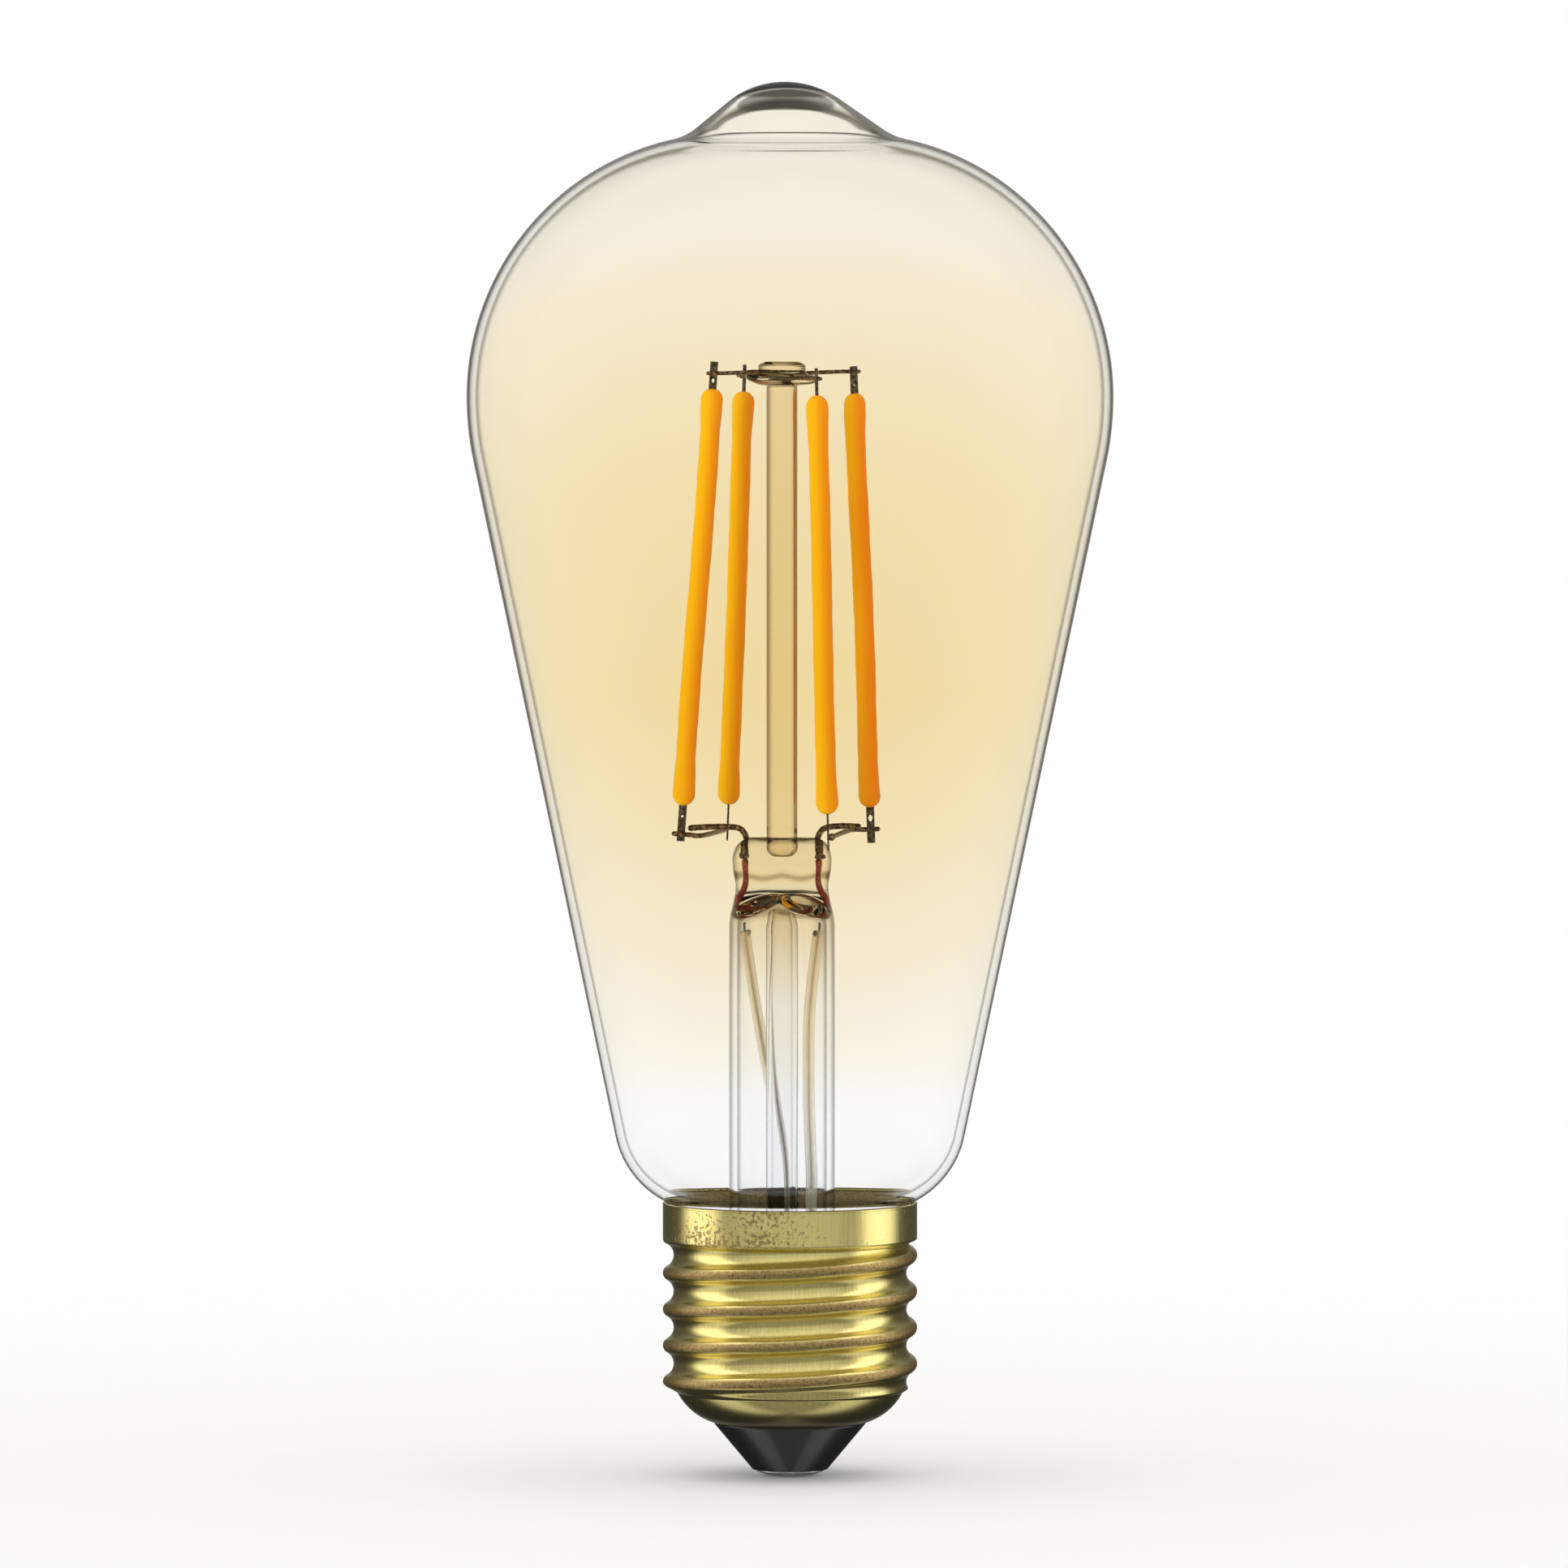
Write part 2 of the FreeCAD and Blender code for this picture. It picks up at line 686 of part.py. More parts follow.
def led_chips(n):
    """A row of light-emitting chips on the strip."""
    pitch = strip_length(n) / chip_count
    chips = []
    for i in range(chip_count):
        centre = (i - (chip_count - 1) / 2) * pitch
        chips.append(Part.makeBox(chip_width, chip_thickness, chip_length,
                                  Vector(-chip_width / 2, strip_thickness / 2, centre - chip_length / 2)))
    return along_filament(Part.makeCompound(chips), n, filament_middle(n), tab_face(n, True))


def phosphor_coat(n):
    """Silicone body round the strip, fuller at its two round ends."""
    low, high = filament_line(n)
    half = (high - low).Length / 2
    outline = Outline(0, -half)
    outline.arc((0, -half + coat_end_radius), coat_end_radius, -half + coat_end_radius)
    outline.line(coat_end_radius, -half + coat_end_length).line(coat_radius, -half + coat_end_length * 1.8)
    outline.line(coat_radius, half - coat_end_length * 1.8).line(coat_end_radius, half - coat_end_length)
    outline.line(coat_end_radius, half - coat_end_radius)
    outline.arc((0, half - coat_end_radius), 0, half)
    solid = along_filament(outline.revolve(), n, filament_middle(n), tab_face(n, True))
    return solid.cut([filament_strip(n), end_tabs(n)] + led_chips(n).Solids)


# ---------------------------------------------------------------- wires
def weld_point(n, height, radius, side, upper):
    """Centre of a wire that lies against one face of a tab."""
    offset = tab_thickness / 2 + radius + weld_gap
    return filament_point(n, height) + tab_face(n, upper) * (offset * side)


def upper_wire(a, b):
    """Straight wire through the button, from the tab of one filament to the tab of the one opposite."""
    height = upper_wire_heights[0 if a in (0, 3) else 1]
    start = weld_point(a, height, upper_wire_radius, 1, True)
    end = weld_point(b, height, upper_wire_radius, 1, True)
    run = (end - start).normalize() * (tab_width / 2 + wire_end)
    return on_stem(rod(start - run, end + run, upper_wire_radius))


def hook_wire(side):
    """Stiff lead out of the seal, bent over to the cross wire. side is -1 for the left one, 1 for the right."""
    reach, place = hook_reach[:2] if side < 0 else hook_reach[2:]
    turn = 1.3
    points = [(side * hook_exit, 0, hook_foot), (side * hook_exit, 0, hook_height - 0.3),
              (side * (hook_exit + turn), place * 0.2, hook_height), (side * reach, place, hook_height)]
    wire = bent_wire(points, hook_radius)
    bead = Part.makeSphere(bead_radius, Vector(side * hook_exit, 0, hook_foot))
    cut_plane = Part.makeBox(4, 4, 4, Vector(side * hook_exit - 2, -2, hook_foot - 4))
    return on_stem(wire.fuse(bead.cut(cut_plane)))


def cross_wire(side):
    """Wire under a hook, welded to the lower tabs of the two filaments on one side."""
    outer, inner = (0, 1) if side < 0 else (3, 2)
    height = hook_height - hook_radius - cross_wire_radius - weld_gap
    start = weld_point(outer, height, cross_wire_radius, 1, False)
    end = weld_point(inner, height, cross_wire_radius, 1, False)
    out = wire_direction(outer, False)
    run = wire_direction(inner, False)
    past = tab_width / 2 + wire_end
    corner = start - out * 2.2
    approach = end - run * 2.2
    return on_stem(bent_wire([start + out * past, corner, approach, end + run * past], cross_wire_radius))


def seal_wire(side):
    """Copper-clad wire inside the seal, between the hook and the outer lead."""
    points = [(side * hook_exit, 0, hook_foot), (side * hook_exit, 0, hook_foot - 2.4),
              (side * seal_wire_spread, 0, flare_top + 2.0), (side * seal_wire_spread, 0, flare_top)]
    return on_stem(bent_wire(points, seal_wire_radius))


def along_lead(side, radius):
    """A round bar along the route of an outer lead, from the seal to its pad on the board."""
    middle = left_lead if side < 0 else right_lead
    pad_x, pad_y = pad_positions[0 if side < 0 else 1]
    start = [(side * seal_wire_spread, 0, flare_top), (side * seal_wire_spread, 0, flare_top - 1.2)]
    end = [(pad_x + stem_offset, pad_y, board_top() + 2.2), (pad_x + stem_offset, pad_y, board_bottom)]
    return on_stem(bent_wire(start + list(middle) + end, radius))


def outer_lead(side):
    return along_lead(side, lead_radius)


def insulating_sleeve(side):
    """Glass-fibre sleeving over an outer lead."""
    bottom = board_top() + solder_radius + 0.1
    slab = Part.makeCylinder(neck_radius, sleeve_top - bottom, Vector(0, 0, bottom))
    return along_lead(side, sleeve_radius).cut(along_lead(side, sleeve_bore)).common(slab)


# ---------------------------------------------------------------- driver
def board_top():
    return board_bottom + board_thickness


def pad_holes(radius):
    """Round holes through the board for the leads."""
    places = [Vector(x, y, board_bottom) for x, y in pad_positions]
    places.append(Vector(resistor_place[0], resistor_place[1], board_bottom))
    places.append(Vector(shell_lead_place, 0, board_bottom))
    return [Part.makeCylinder(radius, board_thickness, place) for place in places]


def driver_board():
    radius = liner_radius() - liner_wall - board_clearance
    disc = Part.makeCylinder(radius, board_thickness, Vector(0, 0, board_bottom))
    return disc.cut(pad_holes(shell_lead_radius + hole_clearance))


def bulk_capacitor():
    """Electrolytic can with a rolled groove near its base."""
    base = board_bottom
    groove = 1.0
    low = base - capacitor_height
    outline = Outline(0, low).line(capacitor_radius - 0.4, low).line(capacitor_radius, low + 0.4)
    outline.line(capacitor_radius, base - groove - 0.5)
    outline.line(capacitor_radius - 0.3, base - groove).line(capacitor_radius, base - groove + 0.5)
    outline.line(capacitor_radius, base).line(0, base)
    can = outline.revolve()
    can.translate(Vector(capacitor_place[0], capacitor_place[1], 0))
    return can


def choke_core():
    """Ferrite drum."""
    low = board_bottom - choke_height
    flange = board_bottom - choke_flange
    outline = Outline(0, low).line(choke_radius, low).line(choke_radius, low + choke_flange)
    outline.line(choke_core_radius, low + choke_flange).line(choke_core_radius, flange)
    outline.line(choke_radius, flange).line(choke_radius, board_bottom).line(0, board_bottom)
    drum = outline.revolve()
    drum.translate(Vector(choke_place[0], choke_place[1], 0))
    return drum


def choke_winding():
    low = board_bottom - choke_height + choke_flange
    coil = ring(winding_radius, choke_core_radius, low, board_bottom - choke_flange)
    coil.translate(Vector(choke_place[0], choke_place[1], 0))
    return coil


def packaged_chip(size, place, underside, pins_each_side):
    """A moulded package with straight pins along two sides, above or below the board."""
    bottom = board_bottom - size[2] if underside else board_top()
    body = box(size, place, bottom)
    pins = []
    pitch = size[0] / (pins_each_side + 0.5)
    for side in (-1, 1):
        for i in range(pins_each_side):
            x = place[0] + (i - (pins_each_side - 1) / 2) * pitch
            y = place[1] + side * (size[1] / 2 + pin_size[1] / 2)
            pin_bottom = board_bottom - pin_size[2] if underside else board_top()
            pins.append(box(pin_size, (x, y), pin_bottom))
    return body.multiFuse(pins)


def bridge_rectifier():
    return packaged_chip(rectifier_size, rectifier_place, True, 2)


def driver_chip():
    return packaged_chip(driver_chip_size, driver_chip_place, False, 4)


def chip_components():
    """Small resistors and capacitors on the board's upper side."""
    return Part.makeCompound([box(small_part_size, place, board_top()) for place in small_part_places])


def radio_board():
    return box(radio_board_size, radio_board_place, board_top())


def shield_place():
    """Centre of the radio's shield, set towards one end of its board."""
    free = radio_board_size[0] - radio_shield_size[0]
    return radio_board_place[0] - free / 2 + 0.5, radio_board_place[1]


def radio_shield():
    """Pressed can over the radio circuit."""
    bottom = board_top() + radio_board_size[2]
    width, depth, height = radio_shield_size
    outer = box(radio_shield_size, shield_place(), bottom)
    hollow = (width - 2 * shield_wall, depth - 2 * shield_wall, height - shield_wall)
    return outer.cut(box(hollow, shield_place(), bottom))


def radio_antenna():
    """Meandering aerial along the free end of the radio's board."""
    bottom = board_top() + radio_board_size[2]
    right = radio_board_place[0] + radio_board_size[0] / 2 - 0.3
    left = shield_place()[0] + radio_shield_size[0] / 2 + 0.3
    runs = 5
    depth = radio_board_size[1] - 0.8
    pitch = (depth - antenna_width) / (runs - 1)
    low = radio_board_place[1] - depth / 2
    bars = []
    for i in range(runs):
        y = low + antenna_width / 2 + i * pitch
        bars.append(box((right - left, antenna_width, antenna_thickness), ((left + right) / 2, y), bottom))
        if i < runs - 1:
            x = right - antenna_width / 2 if i % 2 else left + antenna_width / 2
            link = (antenna_width, pitch, antenna_thickness)
            bars.append(box(link, (x, y + pitch / 2), bottom))
    return bars[0].multiFuse(bars[1:]).removeSplitter()


def fusible_resistor():
    """Round resistor body with a fuller cap at each end."""
    end = 1.0
    waist = resistor_radius - 0.2
    outline = Outline(0, resistor_bottom).line(resistor_radius, resistor_bottom)
    outline.line(resistor_radius, resistor_bottom + end).line(waist, resistor_bottom + end + 0.2)
    outline.line(waist, resistor_top - end - 0.2).line(resistor_radius, resistor_top - end)
    outline.line(resistor_radius, resistor_top).line(0, resistor_top)
    body = outline.revolve()
    body.translate(Vector(resistor_place[0], resistor_place[1], 0))
    return body


def resistor_lead():
    x, y = resistor_place
    return rod(Vector(x, y, resistor_top), Vector(x, y, board_top()), shell_lead_radius)


def contact_lead():
    """Wire from the eyelet of the centre contact to the resistor."""
    x, y = resistor_place
    level = resistor_bottom - 1.0
    points = [(0, 0, eyelet_bore), (0, 0, level), (x, y, level), (x, y, resistor_bottom)]
    return bent_wire(points, eyelet_bore - hole_clearance, level - eyelet_top - 0.1)


def shell_lead():
    """Wire from the board to the inside of the brass shell."""
    x = shell_lead_place
    points = [(x, 0, board_top()), (x, 0, liner_bottom + 0.4), (x - 0.5, 0, liner_bottom - 0.8)]
    return bent_wire(points, shell_lead_radius)


def solder_joints():
    """Solder domes round the leads on the board's upper side."""
    domes = []
    for x, y in list(pad_positions) + [resistor_place, (shell_lead_place, 0)]:
        ball = Part.makeSphere(solder_radius, Vector(x, y, board_top()))
        below = Part.makeBox(2, 2, 2, Vector(x - 1, y - 1, board_top() - 2))
        domes.append(ball.cut(below))
    cutters = [outer_lead(-1), outer_lead(1)]
    domes = [dome.cut(cutters) for dome in domes]
    return Part.makeCompound(domes)


# ---------------------------------------------------------------- output
def pieces():
    """Name and shape of every piece."""
    yield "glass_envelope", glass_envelope()
    yield "stem_flare_tube", stem_flare_tube()
    yield "exhaust_tube", exhaust_tube()
    yield "stem_pinch", stem_pinch()
    yield "stem_pillar", stem_pillar()
    yield "pillar_button", pillar_button()
    for n in range(len(filament_angles)):
        yield "phosphor_coat_%d" % (n + 1), phosphor_coat(n)
        yield "filament_strip_%d" % (n + 1), filament_strip(n)
        yield "led_chips_%d" % (n + 1), led_chips(n)
        yield "end_tabs_%d" % (n + 1), end_tabs(n)
    yield "upper_wire_outer", upper_wire(0, 3)
    yield "upper_wire_inner", upper_wire(1, 2)
    for side, name in ((-1, "left"), (1, "right")):
        yield "hook_wire_" + name, hook_wire(side)
        yield "cross_wire_" + name, cross_wire(side)
        yield "seal_wire_" + name, seal_wire(side)
        yield "outer_lead_" + name, outer_lead(side)
        yield "insulating_sleeve_" + name, insulating_sleeve(side)
    yield "screw_shell", screw_shell()
    yield "cap_insulator", cap_insulator()
    yield "centre_contact", centre_contact()
    yield "capping_cement", capping_cement()
    yield "insulating_liner", insulating_liner()
    yield "driver_board", driver_board()
    yield "bulk_capacitor", bulk_capacitor()
    yield "choke_core", choke_core()
    yield "choke_winding", choke_winding()
    yield "bridge_rectifier", bridge_rectifier()
    yield "driver_chip", driver_chip()
    yield "chip_components", chip_components()
    yield "radio_board", radio_board()
    yield "radio_shield", radio_shield()
    yield "radio_antenna", radio_antenna()
    yield "fusible_resistor", fusible_resistor()
    yield "resistor_lead", resistor_lead()
    yield "contact_lead", contact_lead()
    yield "shell_lead", shell_lead()
    yield "solder_joints", solder_joints()


os.makedirs("parts", exist_ok=True)
for node, shape in pieces():
    solids = shape.Solids
    print(node, len(solids), round(shape.Volume, 3), shape.isValid())
    shape.exportStep("parts/%s.step" % node)
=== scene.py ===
"""Smart filament lamp: tinted glass on a brass screw cap, with LED filaments round a glass stem.

Lengths are in millimetres up to the last step of a mesh, which turns them into metres. +Z runs up the lamp's
axis from the centre contact, -Y is the front, and the stem stands a little to the left of the axis.
"""
import math

import bpy
import numpy as np
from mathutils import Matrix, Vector


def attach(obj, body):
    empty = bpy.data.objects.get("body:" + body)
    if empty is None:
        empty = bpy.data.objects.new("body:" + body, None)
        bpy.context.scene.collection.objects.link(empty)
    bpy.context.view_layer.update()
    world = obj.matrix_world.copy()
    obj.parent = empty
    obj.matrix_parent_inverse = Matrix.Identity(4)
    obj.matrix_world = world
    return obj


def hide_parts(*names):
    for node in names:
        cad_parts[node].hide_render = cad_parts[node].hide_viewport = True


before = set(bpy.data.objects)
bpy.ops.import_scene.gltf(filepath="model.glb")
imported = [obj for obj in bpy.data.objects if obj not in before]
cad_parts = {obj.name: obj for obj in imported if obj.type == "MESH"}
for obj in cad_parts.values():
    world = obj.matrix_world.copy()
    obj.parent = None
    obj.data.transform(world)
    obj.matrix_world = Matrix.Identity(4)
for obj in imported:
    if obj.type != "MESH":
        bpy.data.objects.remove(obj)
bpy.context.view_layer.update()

MM = 0.001
TURN = 2 * math.pi

# ---------------------------------------- sizes shared with the solids
BULB_RADIUS = 32.25
LAMP_HEIGHT = 139.3
SHOULDER_RADIUS = 26.3
TIP_RISE = 5.1
EQUATOR = LAMP_HEIGHT - TIP_RISE - SHOULDER_RADIUS
BELLY_RADIUS = 31.0
HEEL_RADIUS = 9.4
HEEL_PLACE = (8.236, 35.914)
THROAT_RADIUS = 2.0
NECK_RADIUS = 11.1
NECK_BOTTOM = 16.6
GLASS_WALL = 0.85
TIP_RADIUS = 9.3
TIP_FLANK = math.radians(37.0)
TIP_FOOT_RADIUS = 5.8
TIP_THICKNESS = 1.8
TIP_LEAN = 0.5                 # the tip was drawn off this far towards -X

THREAD_MAJOR = 12.72           # the shell is drawn about 0.35 mm slimmer than its solid
THREAD_MINOR = 11.65
THREAD_PITCH = 3.629
CREST_ROUND = 0.8
THREAD_PHASE = 22.13
SKIRT_RADIUS = 12.72
SKIRT_BOTTOM = 23.5
SKIRT_EDGE = 0.3
RIM_HEIGHT = 27.45
RIM_BEND = 0.25
CAP_WALL = 0.3
DISH_RADIUS = 5.95
DISH_CENTRE = (6.0, 11.1)
DISH_TOP = 8.4
DISH_EDGE_SLOPE = 1.8
DISH_BLEND = 0.25              # reach of the rounding between thread and dish
LIP_HEIGHT = 5.4
LIP_RADIUS = 7.7

STEM_OFFSET = 0.8
FLARE_RADIUS = 5.3
FLARE_WALL = 0.8
TUBE_TOP = 54.0
PINCH_TOP = 63.9
PINCH_HALF_WIDTH = 4.72
PINCH_HALF_DEPTH = 2.15
PINCH_ROUND = 1.9              # rounding of its upper edge
BORE_TOP = 55.4                # the tube's bore is round up to here, with a dome above
BORE_DOME = 2.6
EXHAUST_RADIUS = 1.6
EXHAUST_BORE = 1.05
EXHAUST_TOP = 56.9
PILLAR_RADIUS = 1.55
PILLAR_FOOT = 62.0
PILLAR_TOP = 108.95
STEM_SHIFT = (-STEM_OFFSET, 0, 0)

COAT_TOP = 108.3
COAT_BOTTOM = 66.8
FILAMENT_TOP_RADIUS = 7.9
FILAMENT_BOTTOM_RADIUS = 10.3
FILAMENT_ANGLES = ((209.0, 197.0), (119.0, 121.5), (296.0, 296.0), (23.5, 31.0))
FILAMENT_LIFTS = (0.5, 0.0, -0.1, -0.1)
OPPOSITE = {0: 3, 3: 0, 1: 2, 2: 1}
COAT_RADIUS = 0.985
COAT_END = 1.15                # length of a coat's round end
UPPER_TAB = 2.7                # how far the tabs stand out of the coats
LOWER_TAB = 3.6
TAB_WIDTH = 0.8
TAB_THICKNESS = 0.2
TAB_HOLD = 1.2                 # how far they reach into the coats

UPPER_WIRE_HEIGHT = 110.2      # about where both meet the tabs
UPPER_WIRE_RADIUS = 0.2
WIRE_PAST = 0.95               # a wire runs on this far past its tab
HOOK_HEIGHT = 65.0
HOOK_FOOT = 3.55               # distance of a hook's foot from the stem's axis
HOOK_RADIUS = 0.3
CROSS_DROP = 0.56
CROSS_RADIUS = 0.25
SEAL_WIRE_RADIUS = 0.26
LEAD_RADIUS = 0.13
SLEEVE_RADIUS = 0.55
SLEEVE_BORE = 0.3


# ---------------------------------------- surfaces
def smooth(value, low, high):
    """0 below low, 1 above high, with an even rise 3t^2 - 2t^3 between them."""
    t = np.clip((value - low) / (high - low), 0, 1)
    return t * t * (3 - 2 * t)


def unit(v):
    return v / np.linalg.norm(v, axis=-1, keepdims=True)


def arc(centre, radius, start, end, step=3.0):
    """Points of a circle's stretch between two angles in degrees, about one step apart."""
    count = max(2, int(abs(end - start) / step) + 1)
    a = np.radians(np.linspace(start, end, count))
    return np.stack([centre[0] + radius * np.cos(a), centre[1] + radius * np.sin(a)], -1)


def outline(corners, closed=False, steps=8):
    """Points along straight runs. A corner (x, y, r) is rounded by a tangent arc of radius r, or the largest
    that fits half of its shorter run."""
    p = np.array([c[:2] for c in corners], float)
    radius = [c[2] if len(c) > 2 else 0.0 for c in corners]
    parts = []
    last = len(p) - 1
    for k, corner in enumerate(p):
        if radius[k] == 0 or (not closed and k in (0, last)):
            parts.append(corner[None])
            continue
        back, ahead = p[k - 1] - corner, p[(k + 1) % len(p)] - corner
        room = 0.49 * min(np.linalg.norm(back), np.linalg.norm(ahead))
        back, ahead = unit(back), unit(ahead)
        half = math.acos(np.clip(back @ ahead, -1, 1)) / 2
        cut = min(radius[k] / math.tan(half), room)
        centre = corner + unit(back + ahead) * cut / math.cos(half)
        bend = math.pi - 2 * half
        t = np.linspace(0, 1, steps + 1)[:, None]
        start, end = corner + back * cut - centre, corner + ahead * cut - centre
        parts.append(centre + (np.sin((1 - t) * bend) * start + np.sin(t * bend) * end) / math.sin(bend))
    return np.concatenate(parts)


def lathe(profile, around=128, squeeze=None):
    """Rows of points: the profile's (radius, height) turned about the axis, x = r cos a, y = r sin a."""
    a = np.linspace(0, TURN, around, endpoint=False)[None]
    r, z = profile[:, 0, None], profile[:, 1, None]
    grid = np.stack([r * np.cos(a), r * np.sin(a), z + 0 * a], -1)
    return grid if squeeze is None else squeeze(grid, a)


def curve_through(points, count):
    """A smooth line through points: Catmull-Rom cubics, spaced evenly in the points' order."""
    p = np.array(points, float)
    p = np.concatenate([2 * p[:1] - p[1:2], p, 2 * p[-1:] - p[-2:-1]])
    t = np.linspace(0, len(p) - 3, count)
    k = np.minimum(t.astype(int), len(p) - 4)
    u = (t - k)[:, None]
    a, b, c, d = p[k], p[k + 1], p[k + 2], p[k + 3]
    square, cube = 2 * a - 5 * b + 4 * c - d, 3 * b - a - 3 * c + d
    return 0.5 * (2 * b + (c - a) * u + square * u ** 2 + cube * u ** 3)


def sweep(path, radius, side, around=20):
    """A round bar along a path: each row is path + r (N cos a + B sin a), with N square to the path and to a
    fixed side direction, and B square to both. Zero radius at an end closes it."""
    tangent = unit(np.gradient(path, axis=0))
    normal = unit(np.cross(tangent, np.array(side, float)))
    binormal = np.cross(tangent, normal)
    a = np.linspace(0, TURN, around, endpoint=False)[None, :, None]
    r = np.broadcast_to(np.asarray(radius, float), (len(path),))[:, None, None]
    return path[:, None] + r * (normal[:, None] * np.cos(a) + binormal[:, None] * np.sin(a))


def round_ends(path, radius):
    """Radii along a path that fall to zero at both ends as a ball's do: r sqrt(1 - (1 - d / r)^2)."""
    steps = np.linalg.norm(np.diff(path, axis=0), axis=1)
    s = np.concatenate([[0], np.cumsum(steps)])
    near = np.minimum(np.minimum(s, s[-1] - s) / radius, 1)
    return radius * np.sqrt(np.clip(1 - (1 - near) ** 2, 0, 1))


def wire(points, radius, side=(0, 1, 0), count=90, around=14, wobble=0.0):
    """A round wire along a smooth line through points, with round ends and an uneven drawn surface."""
    path = curve_through(points, count)
    eased = np.sort(np.concatenate([path_steps(path, radius), np.linspace(0, 1, count)]))
    path = curve_through(points, count * 4)[np.round(eased * (count * 4 - 1)).astype(int)]
    path = path[np.concatenate([[True], np.linalg.norm(np.diff(path, axis=0), axis=1) > 1e-4])]
    r = round_ends(path, radius)
    uneven = 1 + wobble * np.sin(np.arange(len(path)) * 0.9) * np.sin(np.arange(len(path)) * 0.37)
    return sweep(path, r * uneven, side, around)


def path_steps(path, radius):
    """Shares of a path close to its two ends, where a round end needs more rows."""
    length = np.linalg.norm(np.diff(path, axis=0), axis=1).sum()
    ends = radius / length * (1 - np.cos(np.linspace(0, math.pi / 2, 6)))
    return np.concatenate([ends, 1 - ends])


def skin(grid, along=False):
    """Vertices and faces over rows of points that close round, and along too if asked. End rows that have
    shrunk to one point become poles. The faces are turned so that the volume they close is positive."""
    rows, cols = grid.shape[:2]
    index = np.arange(rows * cols).reshape(rows, cols)
    for row in (0, rows - 1):
        if not along and np.ptp(grid[row], axis=0).max() < 1e-6:
            index[row] = index[row, 0]
    i = np.arange(rows if along else rows - 1)[:, None]
    j = np.arange(cols)[None]
    up, left = (i + 1) % rows, (j + 1) % cols
    quads = np.stack([index[i, j], index[i, left], index[up, left], index[up, j]], -1).reshape(-1, 4)
    p = grid.reshape(-1, 3)
    corner = p[quads]
    volume = np.einsum("ij,ij->i", corner[:, 0], np.cross(corner[:, 1], corner[:, 2])).sum()
    volume += np.einsum("ij,ij->i", corner[:, 0], np.cross(corner[:, 2], corner[:, 3])).sum()
    if volume < 0:
        quads = quads[:, ::-1]
    return p, quads


def make(name, patches, material, crease, shift=(0, 0, 0), values=None, replaces=()):
    """One object from patches of vertices and faces, in metres, smooth up to a crease angle. It replaces the
    node of its own name unless others are given."""
    replaces = replaces or [name]
    points, faces, start = [], [], 0
    for p, quads in patches:
        points.append(p)
        faces.append(quads + start)
        start += len(p)
    points = (np.concatenate(points) + np.array(shift, float)) * MM
    faces = np.concatenate(faces)
    used, quads = np.unique(faces, return_inverse=True)
    quads = quads.reshape(faces.shape)
    a, b, c, d = quads.T
    first, last = a == b, c == d
    ends = first | last
    whole = ~(ends | (b == c) | (a == d))
    tris = [quads[first][:, [0, 2, 3]], quads[last][:, [0, 1, 2]],
            quads[(b == c) & ~ends][:, [0, 1, 3]], quads[(a == d) & ~ends][:, [0, 1, 2]]]
    mesh = bpy.data.meshes.new(name)
    mesh.from_pydata(points[used].tolist(), [], quads[whole].tolist() + np.concatenate(tris).tolist())
    mesh.polygons.foreach_set("use_smooth", np.ones(len(mesh.polygons), bool))
    if values is not None:
        layer = mesh.attributes.new("wear", "FLOAT", "POINT")
        layer.data.foreach_set("value", np.ascontiguousarray(values[used], dtype=np.float32))
    mesh.set_sharp_from_angle(angle=math.radians(crease))
    mesh.validate()
    mesh.materials.append(material)
    obj = bpy.data.objects.new(name, mesh)
    bpy.context.scene.collection.objects.link(obj)
    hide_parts(*replaces)
    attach(obj, "root")


# ---------------------------------------- shader tools
class Value:
    """A shader socket that takes part in sums. Operators on it add Math nodes."""

    def __init__(self, net, socket):
        self.net, self.socket = net, socket

    def _math(self, operation, *terms):
        return self.net.add("ShaderNodeMath", {"operation": operation}, dict(enumerate(terms)))

    def __add__(self, other): return self._math("ADD", self, other)
    def __sub__(self, other): return self._math("SUBTRACT", self, other)
    def __rsub__(self, other): return self._math("SUBTRACT", other, self)
    def __mul__(self, other): return self._math("MULTIPLY", self, other)
    def __truediv__(self, other): return self._math("DIVIDE", self, other)
    __radd__, __rmul__ = __add__, __mul__

    def call(self, operation, *others): return self._math(operation, self, *others)

    def call_length(self):
        return self.net.add("ShaderNodeVectorMath", {"operation": "LENGTH"}, {0: self}, "Value")

    def rise(self, low, high):
        """0 below low, 1 above high, smooth between."""
        return self.net.add("ShaderNodeMapRange", {"interpolation_type": "SMOOTHSTEP"},
                            {"Value": self, "From Min": low, "From Max": high})


